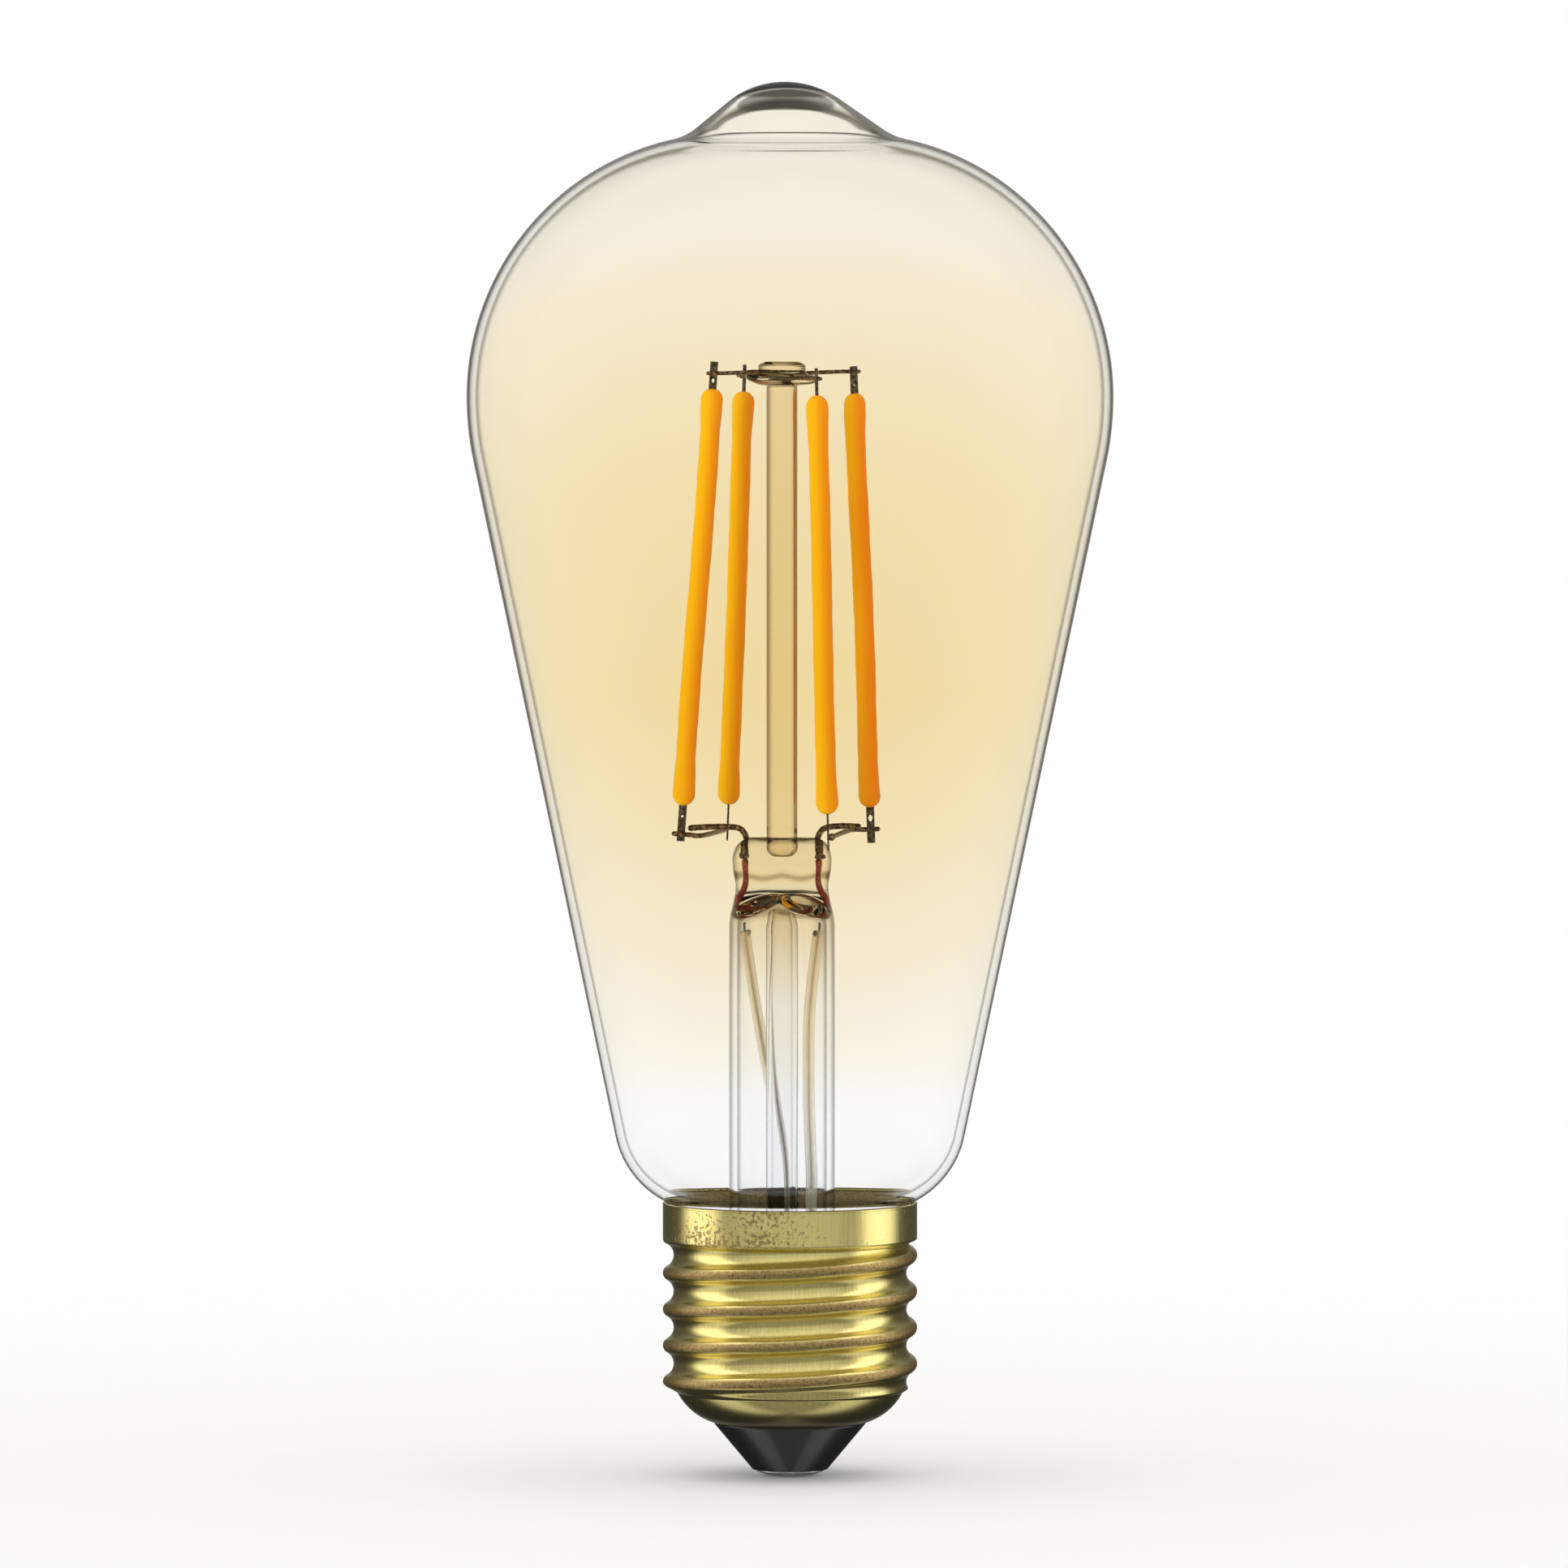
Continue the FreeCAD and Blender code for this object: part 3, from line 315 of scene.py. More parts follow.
class Net:
    """The nodes of one material or of the world."""

    def __init__(self, owner):
        owner.use_nodes = True
        self.tree = owner.node_tree
        self.tree.nodes.clear()

    def add(self, kind, settings=(), inputs=(), out=0):
        """Adds a node: its settings first, then a value or a link for each named or numbered input."""
        node = self.tree.nodes.new(kind)
        for key, value in dict(settings).items():
            if key == "stops":
                ramp = node.color_ramp
                while len(ramp.elements) < len(value):
                    ramp.elements.new(0.5)
                for element, (place, colour) in zip(ramp.elements, value):
                    element.position = place
                    element.color = (*colour, 1) if isinstance(colour, tuple) else (colour, colour, colour, 1)
            else:
                setattr(node, key, value)
        for key, value in dict(inputs).items():
            if isinstance(value, Value):
                self.tree.links.new(value.socket, node.inputs[key])
            else:
                node.inputs[key].default_value = value
        return Value(self, node.outputs[out])

    def mix(self, factor, a, b):
        """Colour a towards colour b."""
        a, b = ((*c, 1) if isinstance(c, tuple) else c for c in (a, b))
        return self.add("ShaderNodeMix", {"data_type": "RGBA"}, {0: factor, 6: a, 7: b}, 2)

    def place(self):
        return self.add("ShaderNodeTexCoord", out="Object")

    def axis(self, letter, vector=None):
        return self.add("ShaderNodeSeparateXYZ", (), {0: vector or self.place()}, letter)

    def stretched(self, scale):
        """Object coordinates scaled by three factors."""
        return self.add("ShaderNodeMapping", (), {"Vector": self.place(), "Scale": scale})

    def noise(self, scale, detail=3.0, rough=0.5, vector=None):
        """Noise with its scale in features per millimetre."""
        return self.add("ShaderNodeTexNoise", (), {"Vector": vector or self.place(), "Scale": scale / MM,
                                                   "Detail": detail, "Roughness": rough})

    def bump(self, height, strength, distance):
        """Normals from a height, in millimetres."""
        return self.add("ShaderNodeBump", (),
                        {"Height": height, "Strength": strength, "Distance": distance * MM})

    def facing(self):
        """0 where the surface faces the eye, 1 at a grazing edge."""
        return self.add("ShaderNodeLayerWeight", (), {"Blend": 0.5}, "Facing")

    def shader(self, **inputs):
        names = {key.replace("_", " ").title().replace("Ior", "IOR"): value for key, value in inputs.items()}
        colour = names.get("Base Color")
        if isinstance(colour, tuple):
            names["Base Color"] = (*colour, 1)
        return self.add("ShaderNodeBsdfPrincipled", (), names)

    def add_output(self, kind, shader):
        node = self.tree.nodes.new(kind)
        self.tree.links.new(shader.socket, node.inputs["Surface"])


def finish(name):
    """Makes a material from a function that takes its nodes and returns its shader."""
    def build(describe):
        material = bpy.data.materials.new(name)
        net = Net(material)
        net.add_output("ShaderNodeOutputMaterial", describe(net))
        return material
    return build


# ---------------------------------------- finishes: glass
AMBER = (0.935, 0.835, 0.590)
CLEAR = (0.985, 0.985, 0.980)


@finish("tinted_glass")
def tinted_glass(net):
    """Clear glass with an amber lacquer that runs out above the cap. Its amber is made stronger round the
    filaments and weaker at grazing edges as a painted warm glow. Its grazing edges and the solid end of the
    tip are painted dark shade."""
    height = net.axis("Z") / (LAMP_HEIGHT * MM)
    # strength of the amber lacquer by height; its peak round the filaments is a painted warm glow
    stops = ((0.0, 0.0), (0.265, 0.0), (0.305, 0.28), (0.36, 0.45), (0.47, 0.82), (0.56, 1.0), (0.70, 0.88),
             (0.80, 0.66), (0.90, 0.36), (1.0, 0.30))
    strength = net.add("ShaderNodeValToRGB", {"stops": stops}, {0: height})
    facing = net.facing()
    # less amber towards grazing edges, part of the painted warm glow
    colour = net.mix(strength * (1 - 0.45 * facing), CLEAR, AMBER)
    # painted shade: a dark outline at grazing edges, wider near the tip, and dark over the solid end of the
    # tip
    tip = net.axis("Z").rise(133.2 * MM, 134.6 * MM)
    edge = (facing + 0.16 * tip).rise(0.80, 0.89)
    solid_from = LAMP_HEIGHT - TIP_THICKNESS
    solid = net.axis("Z").rise((solid_from + 0.10) * MM, (solid_from + 0.40) * MM)
    dark = facing.rise(0.60, 0.84) * 0.02 + (0.97 * edge).call("MAXIMUM", 0.95 * solid)
    # painted shade colours: dark brown at the edges, dark olive at the tip
    colour = net.mix(dark, colour, net.mix(tip, (0.030, 0.019, 0.008), (0.045, 0.040, 0.028)))
    return net.shader(base_color=colour, roughness=0.0, ior=1.14, transmission_weight=1.0)


@finish("stem_glass")
def stem_glass(net):
    """Thicker stem glass, warmer near the filaments, with painted dark edges that turn brown-orange near the
    filaments as a painted reflection of them.
    """
    height = net.axis("Z")
    warm = height.rise(46 * MM, 66 * MM)
    colour = net.mix(warm, (0.985, 0.99, 0.995), (0.88, 0.80, 0.62))
    # painted shade for the edges: cold near-black lower down, brown-orange near the filaments as their
    # painted reflection
    edge_colour = net.mix(warm, (0.030, 0.042, 0.048), (0.085, 0.036, 0.008))
    facing = net.facing()
    # painted dark edges: a wide band near the filaments, and a dark outline all the way up
    inner_edge = facing.rise(0.12, 0.50) * (0.04 + 0.80 * warm)
    colour = net.mix((inner_edge + facing.rise(0.50, 0.78) * 0.93).call("MINIMUM", 0.95), colour, edge_colour)
    return net.shader(base_color=colour, roughness=0.0, ior=1.40, transmission_weight=1.0)


# ---------------------------------------- finishes: lamp
@finish("phosphor_silicone")
def phosphor_silicone(net):
    """Dyed silicone, yellow-orange, cloudy, a little translucent, slightly dusty. Its shift from yellow
    towards -X to deeper orange towards +X is painted light, and faces turned towards +X get painted shade.
    """
    cloud = net.noise(0.35, 4.0, 0.6, net.stretched((1.0, 1.0, 0.25)))
    fine = net.noise(6.0, 2.0)
    # painted light: lighter yellow towards -X, deeper orange towards +X
    across = net.axis("X").rise(4 * MM, 10 * MM)
    colour = net.mix(0.85 * across + 0.7 * (cloud - 0.5), (0.66, 0.41, 0.0), (0.53, 0.155, 0.0))
    # painted shade: faces turned towards +X darker orange
    shade = net.axis("X", net.add("ShaderNodeNewGeometry", out="Normal")).rise(-0.85, 0.9)
    colour = net.mix(shade * 0.8, colour, (0.49, 0.135, 0.0))
    colour = net.mix(fine.rise(0.62, 0.75) * 0.25, colour, (0.45, 0.16, 0.0))
    return net.shader(base_color=colour, roughness=0.6, specular_ior_level=0.08,
                      normal=net.bump(fine, 0.25, 0.02))


def oxidised(name, dark, pale, rough):
    @finish(name)
    def material(net):
        """Drawn or punched metal under a blotchy oxide."""
        blotch = net.noise(3.0, 5.0, 0.65)
        grain = net.noise(14.0, 2.0)
        colour = net.mix(blotch.rise(0.42, 0.66), dark, pale)
        return net.shader(base_color=colour, metallic=0.85, roughness=blotch * 0.3 + rough,
                          normal=net.bump(grain + blotch, 0.4, 0.02))
    return material


tab_metal = oxidised("oxidised_tab", (0.035, 0.026, 0.020), (0.20, 0.165, 0.125), 0.35)
wire_metal = oxidised("oxidised_wire", (0.060, 0.036, 0.020), (0.40, 0.28, 0.17), 0.32)
sealed_copper = oxidised("copper_clad", (0.30, 0.035, 0.025), (0.48, 0.11, 0.07), 0.35)
lead_metal = oxidised("lead_wire", (0.06, 0.045, 0.035), (0.16, 0.13, 0.10), 0.4)
steel = oxidised("pressed_steel", (0.52, 0.52, 0.53), (0.70, 0.70, 0.71), 0.25)
tinned = oxidised("tinned_wire", (0.50, 0.50, 0.49), (0.66, 0.66, 0.65), 0.3)
gold = oxidised("gilt", (0.62, 0.42, 0.14), (0.74, 0.54, 0.22), 0.25)
solder_metal = oxidised("solder", (0.42, 0.42, 0.43), (0.62, 0.62, 0.63), 0.22)


@finish("sleeving")
def sleeving(net):
    """Translucent glass-fibre sleeving, straw-coloured, with a fine braid and painted dark shade at its
    grazing edges.
    """
    z = net.axis("Z")
    braid = net.add("ShaderNodeTexWave", {"bands_direction": "Z"}, {"Vector": net.place(), "Scale": 900.0})
    facing = net.facing()
    colour = net.mix(z.rise(28 * MM, 46 * MM), (0.96, 0.94, 0.85), (0.98, 0.85, 0.56))
    # painted shade: darker brown towards grazing edges
    colour = net.mix(facing.rise(0.55, 0.95) * 0.7, colour, (0.20, 0.13, 0.06))
    return net.shader(base_color=colour, roughness=0.45, alpha=0.34 + 0.5 * facing.rise(0.3, 0.9),
                      normal=net.bump(braid, 0.15, 0.02))


@finish("spotted_brass")
def spotted_brass(net):
    """Bright brass with brown pitting on the skirt and tarnished crests, darker and more olive below 5 to 10
    mm.
    """
    wear = net.add("ShaderNodeAttribute", {"attribute_name": "wear"}, (), "Fac")
    z = net.axis("Z")
    patch = net.noise(0.16, 3.0, 0.55)
    spots = net.noise(2.6, 4.0, 0.7)
    pits = net.noise(5.5, 3.0, 0.7)
    drawn = net.noise(1.2, 3.0, 0.6, net.stretched((4.0, 4.0, 0.25)))
    left = net.axis("X").rise(-12 * MM, -8 * MM) * (1 - net.axis("X").rise(-4 * MM, 6 * MM))
    low = 1 - z.rise(24 * MM, 27 * MM)
    crest = wear.rise(0.55, 0.95)
    pitted = (spots + 0.28 * patch + 0.13 * left + 0.05 * low).rise(0.79, 0.87) * z.rise(23.2 * MM, 24 * MM)
    tarnish = crest * (0.62 + 1.1 * (spots - 0.35))
    colour = net.mix(drawn.rise(0.3, 0.8), (0.70, 0.585, 0.20), (0.80, 0.70, 0.31))
    # darker and more olive below 5 to 10 mm
    colour = net.mix(1 - z.rise(5 * MM, 10 * MM), colour, (0.46, 0.40, 0.17))
    colour = net.mix(tarnish.call("MAXIMUM", 0.0), colour, (0.33, 0.20, 0.08))
    colour = net.mix(crest * pits.rise(0.53, 0.64) * 0.85, colour, (0.10, 0.055, 0.025))
    colour = net.mix(pitted * 0.75, colour, (0.29, 0.18, 0.075))
    rough = 0.20 + 0.22 * crest + 0.3 * pitted + 0.08 * drawn
    return net.shader(base_color=colour, metallic=1.0, roughness=rough,
                      normal=net.bump(drawn * 0.4 - pitted * 0.5 + 0.35 * spots, 0.35, 0.03))


@finish("black_glass_insulator")
def insulator_black(net):
    """Pressed black glass with faint flow marks and dust."""
    flow = net.noise(0.5, 3.0, 0.6, net.stretched((1.0, 1.0, 2.5)))
    dust = net.noise(7.0, 2.0).rise(0.66, 0.8)
    colour = net.mix(dust * 0.5, (0.010, 0.009, 0.008), (0.06, 0.055, 0.05))
    return net.shader(base_color=colour, roughness=0.24 + 0.12 * flow, ior=1.52, coat_weight=0.3,
                      normal=net.bump(flow, 0.12, 0.05))


@finish("contact_silver")
def contact_silver(net):
    """Tinned contact with turning marks about its middle and a dull film."""
    rings = net.add("ShaderNodeTexWave", {"wave_type": "RINGS", "rings_direction": "Z"},
                    {"Vector": net.place(), "Scale": 1800.0, "Distortion": 0.6})
    film = net.noise(1.4, 4.0, 0.6)
    colour = net.mix(film.rise(0.35, 0.7), (0.42, 0.41, 0.38), (0.66, 0.65, 0.61))
    return net.shader(base_color=colour, metallic=1.0, roughness=0.28 + 0.2 * film,
                      normal=net.bump(rings, 0.12, 0.01))


@finish("baked_cement")
def cement(net):
    """Baked capping cement, brown-olive and grainy."""
    grain = net.noise(2.2, 5.0, 0.7)
    colour = net.mix(grain.rise(0.3, 0.7), (0.14, 0.12, 0.058), (0.36, 0.31, 0.155))
    return net.shader(base_color=colour, roughness=0.6, normal=net.bump(grain, 0.5, 0.1))


def moulded(name, colour, rough, speck=(0.0, 0.0, 0.0)):
    @finish(name)
    def material(net):
        """Moulded or fired surface with a fine grain and a few specks."""
        grain = net.noise(8.0, 3.0)
        blot = net.noise(0.9, 3.0)
        base = net.mix(blot.rise(0.35, 0.7) * 0.35, colour, tuple(0.8 * c for c in colour))
        base = net.mix(grain.rise(0.68, 0.78) * 0.4, base, speck)
        return net.shader(base_color=base, roughness=grain * 0.15 + rough, normal=net.bump(grain, 0.2, 0.02))
    return material


ceramic = moulded("strip_ceramic", (0.80, 0.79, 0.74), 0.45)
chip_lens = moulded("chip_phosphor", (0.80, 0.76, 0.40), 0.2, (0.9, 0.8, 0.2))
liner_plastic = moulded("liner_plastic", (0.82, 0.82, 0.79), 0.4)
capacitor_sleeve = moulded("capacitor_sleeve", (0.020, 0.020, 0.035), 0.25, (0.1, 0.1, 0.1))
ferrite = moulded("ferrite", (0.055, 0.055, 0.06), 0.55, (0.12, 0.12, 0.12))
package_black = moulded("moulded_package", (0.022, 0.022, 0.022), 0.5, (0.08, 0.08, 0.08))
small_part = moulded("chip_part", (0.30, 0.19, 0.10), 0.4)


@finish("circuit_board")
def board(net):
    """Green solder mask over tracks that show as a fainter maze."""
    cells = net.add("ShaderNodeTexBrick", {"offset": 0.37, "squash": 1.6},
                    {"Vector": net.place(), "Scale": 260.0, "Mortar Size": 0.04, "Color1": (1, 1, 1, 1),
                     "Color2": (0.4, 0.4, 0.4, 1), "Mortar": (0, 0, 0, 1)})
    colour = net.mix(cells, (0.012, 0.115, 0.045), (0.030, 0.215, 0.085))
    return net.shader(base_color=colour, roughness=0.32, coat_weight=0.4, normal=net.bump(cells, 0.2, 0.03))


@finish("enamelled_winding")
def winding(net):
    """Enamelled copper turns."""
    turns = net.add("ShaderNodeTexWave", {"bands_direction": "Z"}, {"Vector": net.place(), "Scale": 1500.0})
    colour = net.mix(turns, (0.26, 0.08, 0.03), (0.62, 0.25, 0.10))
    return net.shader(base_color=colour, metallic=0.8, roughness=0.3, normal=net.bump(turns, 0.8, 0.08))


@finish("resistor_coat")
def resistor_coat(net):
    """Lacquered resistor body with colour rings."""
    green = (0.16, 0.34, 0.24)
    bands = ((0.0, green), (0.22, (0.45, 0.20, 0.05)), (0.30, green), (0.42, (0.02, 0.02, 0.02)),
             (0.50, green), (0.62, (0.62, 0.42, 0.10)), (0.70, green))
    along = (net.axis("Z") - 4.6 * MM) / (5.0 * MM)
    colour = net.add("ShaderNodeValToRGB", {"stops": bands}, {0: along})
    return net.shader(base_color=colour, roughness=0.25, coat_weight=0.5)


# ---------------------------------------- glass envelope
def angle_of(centre, point):
    return math.degrees(math.atan2(point[1] - centre[1], point[0] - centre[0]))


def envelope_side(depth, cap_centre, cap_radius):
    """Profile of a glass surface a depth inside the outer one, from the tip down to the neck's end: tip arc,
    straight flank, hollow foot arc, shoulder arc, belly arc, straight cone, heel arc, hollow throat arc,
    neck."""
    shoulder = np.array([BULB_RADIUS - SHOULDER_RADIUS, EQUATOR])
    belly = np.array([BULB_RADIUS - BELLY_RADIUS, EQUATOR])
    outward = np.array([math.sin(TIP_FLANK), math.cos(TIP_FLANK)])
    down = np.array([math.cos(TIP_FLANK), -math.sin(TIP_FLANK)])
    start = np.array([0, LAMP_HEIGHT - TIP_RADIUS]) + outward * (TIP_RADIUS + TIP_FOOT_RADIUS) - shoulder
    reach = SHOULDER_RADIUS + TIP_FOOT_RADIUS
    along = -start @ down - math.sqrt((start @ down) ** 2 - start @ start + reach ** 2)
    foot = start + down * along + shoulder
    heel = np.array(HEEL_PLACE)
    across, up = belly - heel
    slope = math.acos((HEEL_RADIUS - BELLY_RADIUS) / math.hypot(across, up)) - math.atan2(up, across)
    side = np.array([math.cos(slope), -math.sin(slope)])
    throat_x = NECK_RADIUS + THROAT_RADIUS
    drop = math.sqrt((HEEL_RADIUS + THROAT_RADIUS) ** 2 - (throat_x - heel[0]) ** 2)
    throat = np.array([throat_x, heel[1] - drop])
    flank = 90 - math.degrees(TIP_FLANK)
    foot_end = angle_of(foot, shoulder)
    cone = -math.degrees(slope)
    heel_end = angle_of(heel, throat)
    return np.concatenate([
        arc(cap_centre, cap_radius, 90, flank),
        arc(foot, TIP_FOOT_RADIUS + depth, flank - 180, foot_end, 2.0),
        arc(shoulder, SHOULDER_RADIUS - depth, foot_end + 180, 0, 1.5)[1:],
        arc(belly, BELLY_RADIUS - depth, 0, cone, 1.5)[1:],
        np.linspace(belly + (BELLY_RADIUS - depth) * side, heel + (HEEL_RADIUS - depth) * side, 24)[1:-1],
        arc(heel, HEEL_RADIUS - depth, cone, heel_end, 2.5),
        arc(throat, THROAT_RADIUS + depth, heel_end + 180, 180)[1:],
        [[NECK_RADIUS - depth, NECK_BOTTOM]]])


def glass_envelope():
    """Outer and inner surface of the blown glass as one closed skin, the tip drawn a little to one side."""
    inner_tip = LAMP_HEIGHT - TIP_THICKNESS
    slant = (LAMP_HEIGHT - TIP_RADIUS) * math.cos(TIP_FLANK) + TIP_RADIUS - GLASS_WALL
    inner_radius = (slant - inner_tip * math.cos(TIP_FLANK)) / (1 - math.cos(TIP_FLANK))
    outer = envelope_side(0.0, (0.0, LAMP_HEIGHT - TIP_RADIUS), TIP_RADIUS)
    inner = envelope_side(GLASS_WALL, (0.0, inner_tip - inner_radius), inner_radius)
    outer[0, 0] = inner[0, 0] = 0.0
    grid = lathe(np.concatenate([outer, inner[::-1]]), 240)
    grid[..., 0] -= TIP_LEAN * smooth(grid[..., 2], 132.5, 139.0)
    make("glass_envelope", [skin(grid)], tinted_glass, 60)


# ---------------------------------------- stem
def pinch_rows(levels, half_x, half_y, power):
    """Rows of ovals x = hx c^p, y = hy s^p at the given heights, where c and s are cosine and sine."""
    a = np.linspace(0, TURN, 96, endpoint=False)[None]
    c, s = np.cos(a), np.sin(a)
    x = np.sign(c) * np.abs(c) ** power[:, None] * half_x[:, None]
    y = np.sign(s) * np.abs(s) ** power[:, None] * half_y[:, None]
    return np.stack([x, y, levels[:, None] + 0 * a], -1)


def stem_tube():
    """Flare tube and pressed seal as one piece of glass: the outside runs from the flared foot up the tube,
    flattens into the seal and closes over its top, and the bore ends in a dome under the seal."""
    foot = outline([(9.9, 16.9), (7.0, 19.0, 3.0), (FLARE_RADIUS, 24.5, 5.0), (FLARE_RADIUS, TUBE_TOP)],
                   steps=10)
    z = np.concatenate([foot[:, 1], np.linspace(TUBE_TOP + 0.4, PINCH_TOP - PINCH_ROUND, 46)])
    radius = np.concatenate([foot[:, 0], np.full(46, FLARE_RADIUS)])
    q = np.linspace(0, math.pi / 2, 14)[1:]
    flat = smooth(z, 55.2, 58.6)
    waist = np.exp(-((z - 59.4) / 0.9) ** 2)
    ridge = np.exp(-((z - 61.2) / 0.7) ** 2)
    half_x = radius + (PINCH_HALF_WIDTH - FLARE_RADIUS) * flat + 0.25 * smooth(z, 58.5, 62.0) - 0.12 * waist
    half_y = radius + (PINCH_HALF_DEPTH - FLARE_RADIUS) * flat - 0.35 * waist * flat + 0.26 * ridge
    power = 1 - 0.42 * flat
    rows = pinch_rows(z, half_x, half_y, power)
    top_x = half_x[-1] - PINCH_ROUND * (1 - np.cos(q))
    top_y = np.maximum(half_y[-1] - PINCH_ROUND * (1 - np.cos(q)), 0.05)
    top_z = PINCH_TOP - PINCH_ROUND + PINCH_ROUND * np.sin(q)
    top = pinch_rows(top_z, top_x, top_y, np.full(len(q), power[-1]))
    tip = np.broadcast_to(top[-1].mean(axis=0), top[-1].shape)[None]
    bore_z = np.concatenate([foot[:, 1], np.linspace(TUBE_TOP + 0.4, BORE_TOP, 4)])
    bore_r = np.concatenate([foot[:, 0] - FLARE_WALL * np.concatenate([[0.4], np.ones(len(foot) - 1)]),
                             np.full(4, FLARE_RADIUS - FLARE_WALL)])
    bore_z = np.concatenate([bore_z, BORE_TOP + BORE_DOME * np.sin(q)])
    bore_r = np.concatenate([bore_r, (FLARE_RADIUS - FLARE_WALL) * np.cos(q)])
    bore_r[-1] = 0
    flat = smooth(bore_z, 55.6, 58.0)
    bore = pinch_rows(bore_z, bore_r, bore_r * (1 - 0.62 * flat), np.ones(len(bore_z)))
    wave = np.sin(3 * np.arctan2(bore[..., 1], bore[..., 0]) + 0.6)
    out = np.hypot(bore[..., 0], bore[..., 1])
    bore[..., 2] += 0.35 * wave * smooth(bore[..., 2], 55.6, 57.5) * smooth(out, 0.0, 2.0)
    grid = np.concatenate([bore[::-1], rows, top, tip])
    seal = smooth(grid[..., 2], 58.5, 60.0)
    grid[..., 2] += seal * (0.16 * np.cos(grid[..., 0] * 1.7) - 0.10) * (1 - smooth(grid[..., 2], 62.6, 63.6))
    grid[..., 2] += 0.07 * np.sin(grid[..., 0] * 1.9 + 0.8) * smooth(grid[..., 2], 60.5, 63.5)
    make("stem_tube_and_seal", [skin(grid)], stem_glass, 55, STEM_SHIFT,
         replaces=["stem_flare_tube", "stem_pinch"])


def exhaust_tube():
    """Thin tube up the middle of the flare tube, drawn to a point at its lower end."""
    outer = outline([(0.0, 20.2), (0.55, 20.25, 0.3), (EXHAUST_RADIUS, 22.6, 2.0),
                     (EXHAUST_RADIUS, EXHAUST_TOP)], steps=8)
    inner = outline([(EXHAUST_BORE, EXHAUST_TOP), (EXHAUST_BORE, 23.3, 1.5), (0.0, 21.5)], steps=8)
    grid = lathe(np.concatenate([outer, inner]), 64)
    make("exhaust_tube", [skin(grid)], stem_glass, 50, STEM_SHIFT)


def pillar():
    """Round glass rod with a rounded foot in the seal."""
    profile = outline([(0.0, PILLAR_FOOT), (PILLAR_RADIUS, PILLAR_FOOT, 1.5), (PILLAR_RADIUS, 85.0),
                       (PILLAR_RADIUS, PILLAR_TOP, 0.1), (0.0, PILLAR_TOP)], steps=14)
    make("stem_pillar", [skin(lathe(profile, 72))], stem_glass, 50, STEM_SHIFT)


def button():
    """Pressed knob on the pillar: an upper disc and a wider, uneven flange under it."""
    profile = outline([(0.0, 109.0), (1.8, 109.0, 0.2), (2.5, 109.15, 0.3), (3.35, 109.5, 0.3),
                       (3.4, 110.0, 0.25), (2.5, 110.25, 0.25), (2.35, 110.6, 0.2), (2.35, 111.1, 0.3),
                       (1.7, 111.45, 0.5), (0.0, 111.4)], steps=7)

    def uneven(grid, a):
        share = smooth(np.hypot(grid[..., 0], grid[..., 1]), 2.0, 3.3)
        grow = 1 + share * (0.07 * np.cos(2 * a + 0.3) + 0.05 * np.cos(3 * a + 1.9) + 0.02 * np.cos(7 * a))
        grid[..., :2] *= grow[..., None]
        grid[..., 2] += share * (0.16 * np.cos(a - 2.7) + 0.07 * np.cos(4 * a))
        return grid

    make("pillar_button", [skin(lathe(profile, 96, uneven))], stem_glass, 50, STEM_SHIFT)


# ---------------------------------------- filaments
def polar(radius, degrees, height):
    a = math.radians(degrees)
    return np.array([radius * math.cos(a) - STEM_OFFSET, radius * math.sin(a), height])


def filament_ends(n):
    top_angle, bottom_angle = FILAMENT_ANGLES[n]
    lift = FILAMENT_LIFTS[n]
    return (polar(FILAMENT_BOTTOM_RADIUS, bottom_angle, COAT_BOTTOM + lift),
            polar(FILAMENT_TOP_RADIUS, top_angle, COAT_TOP + lift))


def filament_point(n, height):
    low, high = filament_ends(n)
    return low + (high - low) * (height - low[2]) / (high[2] - low[2])


def filament_frame(n, upper):
    """Directions of a tab: its width, its thickness and its length along the filament."""
    low, high = filament_ends(n)
    axis = unit(high - low)
    if upper:
        run = filament_point(n, UPPER_WIRE_HEIGHT) - filament_point(OPPOSITE[n], UPPER_WIRE_HEIGHT)
    else:
        run = np.array([(-1, 0, 0), (0, 1, 0), (0, -1, 0), (1, 0, 0)][n], float)
    normal = unit(np.cross(axis, run))
    return np.cross(normal, axis), normal, axis


def coat(n):
    """Silicone stick: radius as a function of the distance along it, with a fuller, round end at each side, a
    slow wander of the axis and a slightly uneven skin."""
    low, high = filament_ends(n)
    length = np.linalg.norm(high - low)
    ends = 1 - np.cos(np.linspace(0, math.pi / 2, 12))
    s = np.concatenate([ends * COAT_END, np.linspace(1.3, length - 1.3, 90), length - ends[::-1] * COAT_END])
    near = np.minimum(s, length - s)
    r = COAT_RADIUS + 0.115 * (1 - smooth(near, 1.2, 5.0))
    r += 0.018 * np.sin(s * 0.8 + n) + 0.012 * np.sin(s * 2.3 + 2 * n)
    r *= np.sqrt(np.clip(1 - (1 - np.minimum(near / COAT_END, 1)) ** 2, 0, 1)) ** 0.9
    across, normal, axis = filament_frame(n, True)
    bow = 0.10 * np.sin(s / length * math.pi * 2 + n * 1.7) * smooth(near, 0.0, 4.0)
    path = low + axis * s[:, None] + across * bow[:, None]
    grid = sweep(path, r, normal, 40)
    make("phosphor_coat_%d" % (n + 1), [skin(grid)], phosphor_silicone, 60)


